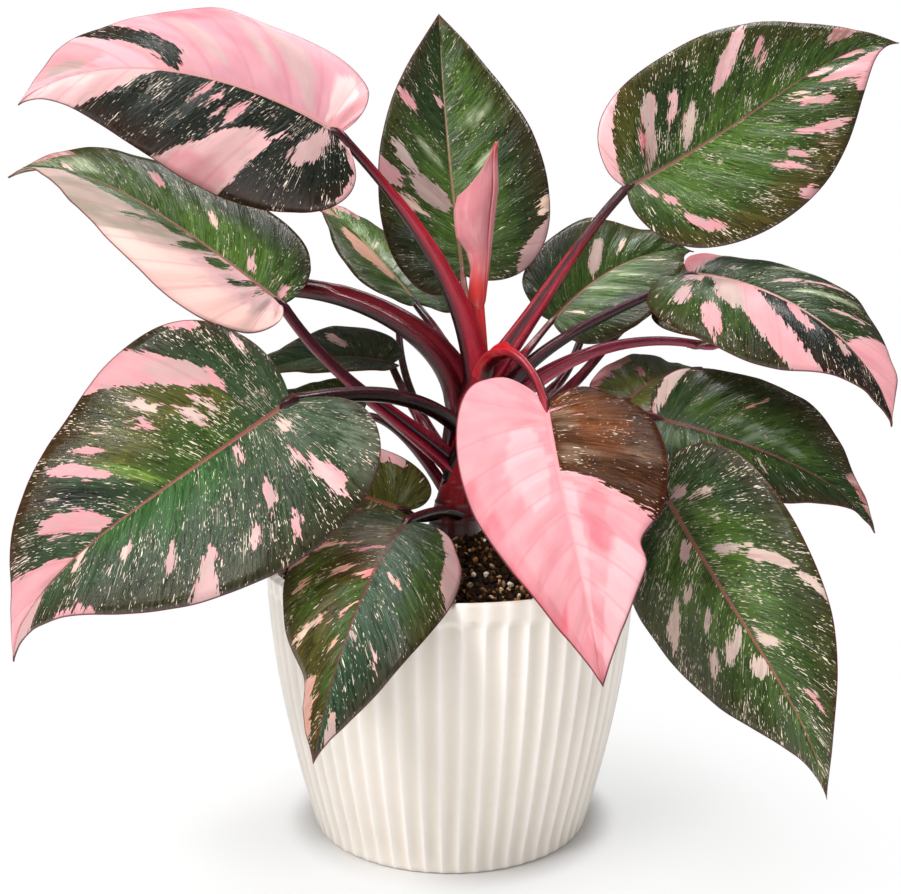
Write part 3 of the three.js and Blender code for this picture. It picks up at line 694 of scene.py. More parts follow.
# %% Stalk finish
stalk, tree, shader = new_material("stalk_skin", Specular_IOR_Level=0.5)
lengthwise = put(tree, "ShaderNodeUVMap", uv_map="skin_mm").outputs[0]
long_streak = streak(tree, lengthwise, 0.5, 16.0)
blotch = streak(tree, lengthwise, 2.5, 9.0, 7.0)
shade = calc(tree, "MULTIPLY_ADD", long_streak, 0.9, calc(tree, "MULTIPLY", blotch, 0.7))
join(tree, shader.inputs["Base Color"],
     scaled(tree, stored(tree, "skin", "Color"), calc(tree, "ADD", shade, 0.2)))
join(tree, shader.inputs["Roughness"], calc(tree, "MULTIPLY_ADD", blotch, 0.2, 0.16))
emboss(tree, shader, long_streak, 0.3, 0.0003)
print("finish made:", stalk.name)

# %% Stem
STEM_PATH = [(2, 5, 136), (4, 5, 152), (9, 5, 178), (14, 6, 206)]
STEM_BURIED = [(2, 5, 113), (2, 5, 122), (2, 5, 130)]      # its foot, inside the mix
STEM_RADIUS = 8.6
STEM_THINS = 0.3          # share of its width that is lost at the top
STEM_FLARE = 3.6          # how much wider the old foot of the stem is
STEM_SCARS = (0.08, 0.2, 0.34, 0.5, 0.66, 0.8)             # where old leaves fell off
STEM_SIDES = 24
# The stem is darker towards the bottom.
STEM_LOW_COLOUR, STEM_HIGH_COLOUR = linear("3c080d"), linear("8c101c")

t = np.linspace(0, 1, 60)
stem_middles = np.vstack([STEM_BURIED, bezier(STEM_PATH, t)[0]])
share = np.concatenate([0 * np.arange(len(STEM_BURIED)), t])
turn = np.arange(STEM_SIDES) / STEM_SIDES * 2 * math.pi
scars = sum(np.exp(-((share - place) / 0.012) ** 2) for place in STEM_SCARS)
rings = []
for middle, along_stem, scar in zip(stem_middles, share, scars):
    radius = STEM_RADIUS * (1 - STEM_THINS * along_stem) * (1 + 0.06 * scar)
    radius += STEM_FLARE * math.exp(-(along_stem / 0.4) ** 2)
    radius = radius * (1 + 0.03 * np.sin(3 * turn + 9 * along_stem))
    rings.append(middle + np.stack([radius * np.cos(turn), radius * np.sin(turn), 0 * turn], -1))
stem = mesh_object("stem_main", tube_points(rings), tube_faces(len(rings), STEM_SIDES), [stalk])
toward_top = np.clip(np.repeat(share, STEM_SIDES)[:, None] * 1.5, 0, 1)
height = np.repeat(stem_middles[:, 2], STEM_SIDES)
dress_tube(stem, mixed(STEM_LOW_COLOUR, STEM_HIGH_COLOUR, toward_top),
           np.stack([np.tile(turn * STEM_RADIUS, len(rings)), height], -1))
settle(stem, "stem", "stem")

# %% [markdown]
# ## Leaf measures
# Every leaf is one row of measures: the curve of its petiole, where the blade's midrib heads and
# how it droops, its size, how its halves fold, and the shape of its lobes. With measures rather
# than sculpted meshes a leaf can be turned or resized by one number.

# %% Table of the leaves
# Lengths are in mm and angles in degrees. root, lead, reach and base: the corners of the stalk's
# curve, and thick: its radius at both ends. heading, rise, droop and hook: where the midrib points
# and how it bends. size: length and width. roll, fold and cup: how the blade lies and how its halves
# bend. lobes (right, left), broad, taper, lean, nick: its outline. wave: height, number, phase.
LEAVES = [
    dict(name="furled", root=[14, 8, 198], lead=[14, 9, 212], reach=[13, 12, 224], base=[12, 14, 238],
         thick=[4.4, 3.8]),
    dict(name="left_high", root=[13, 3, 207], lead=[5, 3, 255], reach=[-28, -5, 289],
         base=[-49, -5, 312], thick=[6.2, 2.2], heading=[181, -5], rise=32, droop=45, hook=27,
         roll=[74, 0], size=[152, 94], fold=2, cup=40, lobes=[0.05, 0.23], broad=0.28, taper=0.16,
         lean=-0.03, wave=[2.6, 2.5, 0.4], nick=[1, 0.36, 0.09, 0.18]),
    dict(name="right_high", root=[17, 3, 204], lead=[43, 5, 238], reach=[59, -1, 269],
         base=[79, 0, 289], thick=[5.6, 2.2], heading=[17, -4], rise=27, droop=-16, hook=44,
         roll=[-71, 0], size=[159, 96], fold=21, cup=22, lobes=[0.07, 0.08], broad=0.30, taper=0.08,
         lean=0.08, wave=[1.6, 2.2, 1.8]),
    dict(name="front", root=[15, -1, 207], lead=[21, -11, 228], reach=[37, -35, 210],
         base=[39, -50, 194], thick=[3.4, 2.0], heading=[-88, 11], rise=-33, droop=17, hook=12,
         roll=[0, -20], size=[129, 80], fold=14, cup=16, lobes=[0.24, 0.14], broad=0.23, taper=0.22,
         lean=-0.04, wave=[1.8, 2.4, 2.6], nick=[0, 0.62, 0.045, 0.19]),
    dict(name="upright", root=[12, 14, 200], lead=[10, 20, 227], reach=[6, 32, 248],
         base=[6, 45, 254], thick=[3.6, 1.7], heading=[110, -1], rise=69, droop=-11, hook=-3,
         roll=[11, -5], size=[140, 88], fold=20, cup=12, lobes=[0.10, 0.18], broad=0.26, taper=0.38,
         lean=0.09, wave=[1.6, 2.0, 0.9]),
    dict(name="back_left", root=[5, 7, 195], lead=[-2, 10, 227], reach=[-48, 14, 246],
         base=[-78, 16, 246], thick=[8.2, 4.6], heading=[168, 4], rise=36, droop=30, hook=15,
         roll=[40, 0], size=[103, 58], fold=14, cup=20, lobes=[0.10, 0.10], broad=0.30, taper=0.15,
         lean=0, wave=[1.5, 2.3, 0.2]),
    dict(name="right_mid", root=[19, 5, 190], lead=[41, 3, 226], reach=[84, 2, 236],
         base=[108, 0, 251], thick=[4.2, 2.0], heading=[-39, 5], rise=-6, droop=53, hook=23,
         roll=[-30, 0], size=[118, 77], fold=12, cup=48, lobes=[0.19, 0.12], broad=0.31, taper=0.09,
         lean=0.07, wave=[1.8, 2.6, 1.2]),
    dict(name="right_mid_rear", root=[23, 9, 188], lead=[48, 12, 216], reach=[88, 18, 226],
         base=[120, 22, 219], thick=[6.0, 2.2], heading=[2, 0], rise=14, droop=8, hook=15,
         roll=[6, 0], size=[78, 42], fold=8, cup=12, lobes=[0.14, 0.14], broad=0.30, taper=0.15,
         lean=0, wave=[1.4, 2.2, 2.0]),
    dict(name="right_behind", root=[20, 8, 199], lead=[37, 13, 217], reach=[42, 29, 223],
         base=[50, 41, 231], thick=[3.2, 1.6], heading=[41, -10], rise=40, droop=35, hook=10,
         roll=[-48, 4], size=[112, 68], fold=20, cup=18, lobes=[0.10, 0.06], broad=0.34, taper=0.12,
         lean=0.06, wave=[2.4, 2.8, 0.7]),
    dict(name="left_low", root=[5, 0, 181], lead=[-14, -12, 201], reach=[-43, -37, 200],
         base=[-65, -55, 196], thick=[4.8, 3.2], heading=[202, -9], rise=-33, droop=2, hook=51,
         roll=[54, -7], size=[149, 122], fold=13, cup=13, lobes=[0.07, 0.26], broad=0.26, taper=0.05,
         lean=-0.01, wave=[2.2, 2.7, 1.5]),
    dict(name="left_mid", root=[3, 4, 162], lead=[-25, -1, 188], reach=[-54, -4, 203],
         base=[-75, -9, 237], thick=[5.5, 2.5], heading=[178, -3], rise=39, droop=11, hook=55,
         roll=[42, -14], size=[141, 83], fold=20, cup=25, lobes=[0.04, 0.09], broad=0.28, taper=0.22,
         lean=-0.07, wave=[1.6, 2.1, 2.9]),
    dict(name="right_low", root=[13, 2, 175], lead=[41, 1, 189], reach=[66, -3, 194],
         base=[93, -5, 186], thick=[3.6, 2.2], heading=[-38, 19], rise=-10, droop=18, hook=38,
         roll=[-41, 5], size=[108, 73], fold=13, cup=17, lobes=[0.20, 0.14], broad=0.28, taper=0.06,
         lean=-0.06, wave=[1.8, 2.4, 0.5]),
    dict(name="right_small", root=[13, 6, 175], lead=[38, 10, 185], reach=[60, 19, 192],
         base=[85, 25, 192], thick=[3.2, 1.9], heading=[53, 0], rise=23, droop=25, hook=9,
         roll=[-14, 0], size=[85, 50], fold=16, cup=16, lobes=[0.22, 0.22], broad=0.30, taper=0.18,
         lean=0, wave=[1.2, 2.2, 1.0]),
    dict(name="right_front", root=[11, -1, 162], lead=[36, -10, 180], reach=[65, -31, 178],
         base=[89, -45, 158], thick=[3.8, 2.4], heading=[-66, 19], rise=-42, droop=4, hook=35,
         roll=[-74, 6], size=[135, 81], fold=-4, cup=8, lobes=[0.07, 0.14], broad=0.27, taper=0.06,
         lean=0.03, wave=[2.2, 2.5, 2.2]),
    dict(name="front_left", root=[4, -4, 141], lead=[-2, -14, 147], reach=[-11, -33, 147],
         base=[-18, -48, 146], thick=[3.0, 2.2], heading=[257, -25], rise=-6, droop=79, hook=-12,
         roll=[20, -12], size=[116, 67], fold=-4, cup=13, lobes=[0.12, 0.10], broad=0.30,
         taper=0.24, lean=0.04, wave=[2.0, 2.2, 1.1], nick=[1, 0.745, 0.10, 0.33]),
    dict(name="left_inner", root=[2, 5, 143], lead=[-8, -1, 141], reach=[-14, -9, 138],
         base=[-20, -14, 145], thick=[3.0, 2.0], heading=[172, 0], rise=20, droop=20, hook=10,
         roll=[60, 0], size=[76, 50], fold=8, cup=18, lobes=[0.20, 0.10], broad=0.30, taper=0.15,
         lean=0, wave=[1.6, 2.3, 0.3]),
    dict(name="left_rear", root=[2, 9, 156], lead=[-14, 18, 182], reach=[-24, 35, 197],
         base=[-30, 50, 210], thick=[3.4, 1.9], heading=[166, -9], rise=12, droop=39, hook=13,
         roll=[20, 13], size=[92, 54], fold=19, cup=16, lobes=[0.08, 0.16], broad=0.35, taper=0.19,
         lean=-0.04, wave=[1.3, 2.2, 1.7]),
    dict(name="left_small", root=[0, 8, 147], lead=[-13, 12, 169], reach=[-30, 18, 188],
         base=[-43, 23, 185], thick=[3.2, 1.9], heading=[170, -4], rise=14, droop=20, hook=12,
         roll=[40, 0], size=[54, 38], fold=14, cup=18, lobes=[0.02, 0.08], broad=0.30, taper=0.15,
         lean=0, wave=[1.2, 2.1, 2.4]),
    dict(name="left_rear_high", root=[4, 11, 193], lead=[2, 19, 222], reach=[-14, 36, 233],
         base=[-18, 50, 241], thick=[3.6, 1.9], heading=[131, 5], rise=39, droop=3, hook=26,
         roll=[-1, -2], size=[103, 61], fold=19, cup=25, lobes=[0.22, 0.17], broad=0.26, taper=0.17,
         lean=0, wave=[1.4, 2.3, 0.8]),
    dict(name="back_low", root=[2, 11, 161], lead=[-16, 28, 185], reach=[-28, 76, 203],
         base=[-28, 94, 235], thick=[3.2, 1.8], heading=[96, 0], rise=2, droop=4, hook=4,
         roll=[-30, 0], size=[66, 34], fold=4, cup=6, lobes=[0.18, 0.18], broad=0.30, taper=0.15,
         lean=0, wave=[1.2, 2.2, 1.4]),
    dict(name="back_right", root=[16, 11, 182], lead=[58, 25, 192], reach=[61, 55, 212],
         base=[73, 76, 233], thick=[3.6, 2.0], heading=[62, 4], rise=38, droop=40, hook=15,
         roll=[-14, 0], size=[104, 62], fold=14, cup=20, lobes=[0.18, 0.18], broad=0.30, taper=0.15,
         lean=0, wave=[1.6, 2.4, 0.1]),
    dict(name="back_far_right", root=[16, 10, 175], lead=[63, 21, 186], reach=[77, 45, 233],
         base=[107, 62, 239], thick=[3.6, 2.0], heading=[14, 0], rise=4, droop=30, hook=15,
         roll=[-44, 0], size=[104, 62], fold=14, cup=20, lobes=[0.16, 0.16], broad=0.30, taper=0.15,
         lean=0, wave=[1.6, 2.3, 2.7]),
]
LEAVES = {leaf["name"]: leaf for leaf in LEAVES}
print("leaves:", len(LEAVES))

# %% [markdown]
# ## Blades
# A philodendron's blade has a strong midrib, side veins that leave it at a slant and curve to the
# edge, and two lobes behind its base. Modelled from a subdivided plane, the veins would be a
# texture only. Here a point is found from two numbers: a, which runs along the edge from the notch
# at the base round to the tip, and rho, which runs from the midrib out to the edge. A line of
# constant a is a side vein, so relief, streaks and patches can all follow the veins exactly.

# %% Outline of half a blade
HALF_SPLIT = 0.36         # share of the outline that belongs to the basal lobe
LOBE_VEINS = 0.1          # share of the midrib that the lobe's veins leave from
SHOULDER = 0.36           # how far the outline runs on before it turns in to the tip
TIP_BEND = 0.84           # where along the blade the tip starts to draw out
NO_NICK = (0, 0, 1, 0)


def flat_bezier(corners, t):
    """Both coordinates of a flat cubic curve."""
    s = 1 - t
    weights = (s ** 3, 3 * s * s * t, 3 * s * t * t, t ** 3)
    return [sum(w * c[k] for w, c in zip(weights, corners)) for k in (0, 1)]


def half_outline(leaf, right, a):
    """Edge of one half in lengths and half widths, and where its vein leaves the midrib."""
    lobe = leaf["lobes"][0 if right else 1]
    back = np.clip(a / HALF_SPLIT, 0, 1)
    fore = np.clip((a - HALF_SPLIT) / (1 - HALF_SPLIT), 0, 1)
    broad, taper = leaf["broad"], leaf["taper"]
    u0, v0 = flat_bezier([(0, 0), (-lobe, 0.3), (-0.55 * lobe, 1), (broad, 1)], back)
    u1, v1 = flat_bezier([(broad, 1), (broad + SHOULDER, 1), (TIP_BEND, taper), (1, 0)], fore)
    half, place, width, depth = leaf.get("nick", NO_NICK)
    dent = depth * np.exp(-((a - place) / width) ** 2) if half == right else 0
    lobe_part = a <= HALF_SPLIT
    vein = np.where(lobe_part, LOBE_VEINS * back ** 2,
                    LOBE_VEINS + (1 - LOBE_VEINS) * (0.75 * fore + 0.25 * fore ** 2))
    return np.where(lobe_part, u0, u1), np.where(lobe_part, v0, v1) * (1 - dent), vein


ends = half_outline(LEAVES["right_high"], True, np.array([0.0, HALF_SPLIT, 1.0]))
print("notch, broadest place and tip of right_high:", np.round(ends[0], 2))

# %% Midrib
SPINE_STEPS = 240


def midrib_turn(leaf, u):
    """Heading of the midrib at u = 0..1, and the unit vector along it."""
    heading = np.radians(leaf["heading"][0] + leaf["heading"][1] * u)
    slope = np.radians(leaf["rise"] - leaf["droop"] * u - leaf["hook"] * u ** 5)
    ahead = np.stack([np.cos(slope) * np.cos(heading), np.cos(slope) * np.sin(heading),
                      np.sin(slope)], -1)
    return heading, ahead


def spine_of(leaf):
    """Points along the midrib."""
    middle = (np.arange(SPINE_STEPS) + 0.5) / SPINE_STEPS
    _, ahead = midrib_turn(leaf, middle)
    steps = np.vstack([[0, 0, 0], np.cumsum(ahead, axis=0) * leaf["size"][0] / SPINE_STEPS])
    return np.array(leaf["base"], float) + steps


def along_line(line, stops, places):
    """Points of a line at some places, where stops says how far along each of its points is."""
    return np.stack([np.interp(places, stops, line[:, k]) for k in range(3)], -1)


print("tip of right_high, mm:", np.round(spine_of(LEAVES["right_high"])[-1], 1))


# %% Surface of half a blade
def blade_surface(leaf, right, a, rho):
    """Middle surface of one half on a grid of a and rho: points, normals and vein places."""
    side = 1 if right else -1
    edge_u, edge_v, vein = half_outline(leaf, right, a)
    bow = 0.12 * rho * (1 - rho) * np.clip((edge_u - vein) * 3, 0, 1)
    u = vein + (edge_u - vein) * rho - bow
    held = np.clip(u, 0, 1)
    point = along_line(spine_of(leaf), np.linspace(0, 1, SPINE_STEPS + 1), held)
    heading, ahead = midrib_turn(leaf, held)
    point += ahead * (np.minimum(u, 0) * leaf["size"][0])[..., None]
    flat_side = np.stack([np.sin(heading), -np.cos(heading), 0 * heading], -1)
    flat_up = np.cross(flat_side, ahead)
    roll = np.radians(leaf["roll"][0] + leaf["roll"][1] * held)[..., None]
    across = flat_side * np.cos(roll) + flat_up * np.sin(roll)
    up = flat_up * np.cos(roll) - flat_side * np.sin(roll)
    half = leaf["size"][1] / 2 * (1 + side * leaf["lean"])
    fold, cup = math.radians(leaf["fold"]), math.radians(leaf["cup"])
    tilt = fold - cup * edge_v * rho
    out = half / cup * (math.sin(fold) - np.sin(tilt))
    lift = half / cup * (np.cos(tilt) - math.cos(fold))
    height, count, phase = leaf["wave"]
    calm = np.minimum(1, 5 * a) * np.minimum(1, 4 * (1 - a))
    wave = height * calm * rho ** 2 * np.sin(2 * math.pi * count * a + phase + side)
    point = point + across * (side * out)[..., None] + up * (lift + wave)[..., None]
    lean_out = np.where(rho > 0, np.sin(tilt), 0)[..., None]
    lean_up = np.where(rho > 0, np.cos(tilt), 1)[..., None]
    return point, up * lean_up - across * side * lean_out, vein


test = blade_surface(LEAVES["right_high"], True, np.array([[0.5]]), np.array([[1.0]]))[0]
print("a point on its edge, mm:", np.round(test.ravel(), 1))

# %% Colours of stalks
# Near the stem: channel, side and underside. Near the blade: the same three. Then the share of
# the stalk that its sheath takes, how much thicker the sheath makes it, and how far the channel is
# turned to the front, in degrees.
# The colours are partly the stalks' own and partly painted light: several channel colours hold a
# painted grey sheen, and the undersides are darkened as painted shade.
STALKS = {
    "furled": ("b81620", "c01c24", "7c0c16", "c22c30", "cc3a3a", "921822", 0.2, 0, 0),
    "left_high": ("a81028", "8c0e24", "24060b", "421019", "2c0a12", "150508", 0.70, 0.2, 25),
    "right_high": ("543439", "8c1024", "430713", "45292e", "340f17", "1a070b", 0.66, 0, 55),
    "front": ("b41420", "a8121e", "3c070c", "8a2430", "42101a", "1c0609", 0.40, 0.5, 30),
    "upright": ("8a1424", "7c1020", "3a0a12", "8a5450", "5e2c32", "32141a", 0.40, 0, 20),
    "back_left": ("5e0b17", "36080f", "160406", "300911", "5a0c1a", "190507", 0.80, 0, 38),
    "right_mid": ("3c1820", "2c0e16", "150507", "4a343c", "2a121a", "14080b", 0.45, 0, 25),
    "right_mid_rear": ("4a1420", "8c2238", "b83c56", "2c1019", "6c2034", "a0405a", 0.50, 0, 10),
    "right_behind": ("7a1022", "5e0c1a", "2e080e", "663034", "44161c", "280e12", 0.40, 0, 20),
    "right_low": ("5a121e", "480e18", "22080c", "542e32", "361218", "1e0a0d", 0.40, 0, 20),
    "left_low": ("2c1014", "20080c", "0e0304", "38191e", "1c090d", "0d0405", 0.45, 0, 20),
    "left_mid": ("320a13", "7c1028", "1c050b", "321019", "600f24", "190609", 0.50, 0, 60),
    "left_inner": ("3a0e12", "240a0c", "120405", "501c1e", "300e10", "1a0708", 0.40, 0, 10),
    "front_left": ("2a0a0e", "1e070a", "0f0405", "4a161c", "280a0f", "140506", 0.40, 0, 10),
}
STALK_USUAL = ("5c1220", "420d17", "1e070b", "4c2229", "2e1017", "170709", 0.45, 0, 25)
print("stalks with colours of their own:", len(STALKS))

# %% Both ends of a petiole
PETIOLE_SIDES = 36
PETIOLE_ROWS = 54
TAIL_ROWS = 9
TAIL = 15.0               # mm that the stalk runs on under the blade, as its midrib
FOOT_ROWS = 12
FOOT = 26.0               # mm that its foot runs down the side of the stem


def stalk_tail(leaf, radius):
    """Middles and radii of the last stretch, which sinks under the blade and thins out."""
    if leaf["name"] == "furled":
        rise = np.linspace(1, 8, TAIL_ROWS)
        return (np.array(leaf["base"]) + np.outer(rise, (0.1, 0.03, 1)),
                radius * (1 - 0.6 * smooth_step(0, 8, rise)))
    spine = spine_of(leaf)
    run = np.linspace(1.2, TAIL, TAIL_ROWS)
    on_spine = along_line(spine, np.linspace(0, leaf["size"][0], len(spine)), run)
    share = np.full((1, 1), run.mean() / leaf["size"][0])
    up = blade_surface(leaf, True, 0.1 + 0.9 * share, 0 * share)[1][0, 0]
    thin = radius * (1 - 0.62 * run / TAIL)
    sink = np.minimum(1, run / 5) * (thin + 0.1)
    return on_spine - up * sink[:, None], thin


def stalk_foot(leaf, radius):
    """Middles, radii and shares of the foot, which clasps the stem below the stalk."""
    root, lead = np.array(leaf["root"], float), np.array(leaf["lead"], float)
    low = max(root[2] - FOOT, SOIL_CROWN - 5)
    sideways = (lead - root) * (1, 1, 0)
    sideways /= np.linalg.norm(sideways)
    start = along_line(stem_middles, stem_middles[:, 2], low) + sideways * STEM_RADIUS * 0.85
    tall = root[2] - low
    ahead = (lead - root) / np.linalg.norm(lead - root)
    t = np.linspace(0, 1, FOOT_ROWS + 1)[:-1]
    path, _ = bezier([start, start + (0, 0, tall * 0.45), root - ahead * tall * 0.4, root], t)
    return path, radius * (0.6 + 0.4 * smooth_step(0, 1, t)), t


print("foot of left_low, mm:", np.round(stalk_foot(LEAVES["left_low"], 1.0)[0][0], 1))


# %% Directions across a stalk
def stalk_frame(middles, front):
    """Directions across and up for each ring. The foot keeps those of the root."""
    ahead = np.gradient(middles, axis=0)
    ahead /= np.linalg.norm(ahead, axis=1, keepdims=True)
    side = np.cross((0, 0, 1), ahead)
    side /= np.linalg.norm(side, axis=1, keepdims=True)
    up = np.cross(ahead, side)
    toward = np.sign(-side[:, 1:2]) * math.radians(front)
    side = np.cross(up * np.cos(toward) + side * np.sin(toward), ahead)
    for k in range(FOOT_ROWS - 1, -1, -1):
        level = side[k + 1] - ahead[k] * (side[k + 1] @ ahead[k])
        side[k] = level / np.linalg.norm(level)
    return side, np.cross(ahead, side)


ROUND = np.arange(PETIOLE_SIDES) / PETIOLE_SIDES * 2 * math.pi
OFF_TOP = np.abs((ROUND - math.pi / 2 + math.pi) % (2 * math.pi) - math.pi)    # 0 in the channel
print("points round a stalk:", PETIOLE_SIDES)

# %% Skin of a stalk
BRIM = linear("b8485a")   # the thin bright lines along both sides of the channel


def stalk_skin(shades, sheath_end, sheath, t, foot_share):
    """Colours round and along a stalk, from three near the stem and three near the blade."""
    fade = smooth_step(sheath_end - 0.15, min(0.95, sheath_end + 0.25), t)[:, None, None]
    # The channel colour carries the painted sheen, and the underside colour the painted shade.
    on_top = (1 - smooth_step(0.45, 0.85, OFF_TOP))[None, :, None]
    below = smooth_step(1.45, 2.1, OFF_TOP)[None, :, None]
    codes = [linear(code) for code in shades]
    near, far = [codes[k] * on_top + codes[k + 2] * below + codes[k + 1] * (1 - on_top - below)
                 for k in (0, 3)]
    skin = mixed(near, far, fade)
    brim = np.exp(-((OFF_TOP[None] - 0.98) / 0.08) ** 2) * (0.12 + 0.22 * sheath[:, None])
    skin = mixed(skin, BRIM, brim[..., None])
    # The foot is darker towards its bottom.
    skin[:FOOT_ROWS] *= (0.55 + 0.45 * foot_share)[:, None, None]
    return skin.reshape(-1, 3)


print("colour of the brims:", np.round(BRIM, 2))

# %% Petioles
WING = 0.24               # height of a sheath's wings, in radii
UV_STEP = 31.0            # mm between the maps of two stalks, so their streaks differ


def make_petiole(leaf, number):
    """A stalk with its foot, channel and wings, which ends as the foot of the midrib."""
    *shades, sheath_end, swell, front = STALKS.get(leaf["name"], STALK_USUAL)
    t = np.linspace(0, 1, PETIOLE_ROWS)
    middles, _ = bezier([leaf["root"], leaf["lead"], leaf["reach"], leaf["base"]], t)
    r0, r1 = leaf["thick"]
    radius = r0 + (r1 - r0) * (1 - (1 - t) ** 2.2)
    tail, thin = stalk_tail(leaf, r1)
    foot, clasp, foot_share = stalk_foot(leaf, r0)
    middles = np.vstack([foot, middles[:-1], tail])
    t = np.concatenate([0 * foot_share, t[:-1], np.linspace(1.0, 1.1, TAIL_ROWS)])
    sheath = 1 - smooth_step(sheath_end - 0.07, sheath_end, t)
    radius = np.concatenate([clasp, radius[:-1], thin]) * (1 + swell * sheath)
    side, up = stalk_frame(middles, front)
    depth = (0.24 + 0.44 * sheath) * (1 - smooth_step(0.93, 1.0, t))
    channel = np.exp(-(OFF_TOP[None] / (0.42 + 0.30 * sheath)[:, None]) ** 2)
    wings = WING * np.exp(-((OFF_TOP[None] - 1.02) / 0.24) ** 2) * sheath[:, None]
    reach = radius[:, None] * (1 - depth[:, None] * channel + wings)
    rings = (middles[:, None] + side[:, None] * (reach * np.cos(ROUND))[..., None]
             + up[:, None] * (reach * np.sin(ROUND))[..., None])
    petiole = mesh_object("stalk_" + leaf["name"], tube_points(rings),
                          tube_faces(len(rings), PETIOLE_SIDES), [stalk])
    around = np.abs(ROUND - math.pi / 2) * radius.mean() + number * UV_STEP
    uv = np.stack(np.broadcast_arrays(around[None], run_of(middles)[:, None]), -1).reshape(-1, 2)
    dress_tube(petiole, stalk_skin(shades, sheath_end, sheath, t, foot_share), uv)
    settle(petiole, "petiole", "petiole_" + leaf["name"])


for number, leaf in enumerate(LEAVES.values()):
    make_petiole(leaf, number)

# %% [markdown]
# ### Variegation
# The pink of this plant comes in sectors that start at the midrib or the edge and run out along
# the veins, in small dashes between the veins, and in fine pale flecks. The large sectors are
# different on each leaf, so they are listed leaf by leaf, like notes for a painter: which half,
# what colour, how far out from the midrib, and between which veins. For each point the distance
# to the edge of the nearest sector is kept in millimetres. The material adds streaky noise to
# that distance before it decides, so each border comes out ragged along the veins, however
# coarse the mesh is.

# %% Palette
# The silver and sheen colours are painted highlights, laid on as tissue colours. Sage and teal green
# are partly the leaf's own tone and partly a painted sheen.
GREENS = {
    "green": "34491c", "mid_green": "405a20", "deep_green": "243518", "black_green": "181d15",
    "grey_green": "2e4027", "sage": "8b9676", "yellow_green": "556d28", "olive": "4a4b1b",
    "bronze": "5c2e08", "olive_bronze": "3e310c", "teal_green": "2b3f2b", "vivid_green": "2a4c22",
    "silver": "66745f", "sheen": "6b5340", "bare_bronze": "3a1e05",
}
PINKS = {
    "pink": "d08d94", "deep_pink": "cb6c77", "pale_pink": "d6a9aa", "blush": "dfbdbc",
    "cream": "dec3aa", "shell": "e3b8ae", "peach": "d89c7e", "mauve": "b69493",
    "grey_pink": "a8948b", "rose_brown": "864840", "rose": "c4505e", "front_pink": "c6838b",
    "front_rose": "bd6b76", "front_pale": "cd9ca2", "cool_pink": "c28390", "cool_pale": "d6a7b1",
    "ash": "a8a193", "stone": "87806f", "oat": "cab6a8", "glow": "fcbcc0", "tan_rose": "b5826c",
}
RIM_BROWN, DRY_TIP = linear("40231a"), linear("5c1c26")
COLOURS = {name: linear(code) for name, code in (GREENS | PINKS).items()}
print("greens:", len(GREENS), "pinks:", len(PINKS))
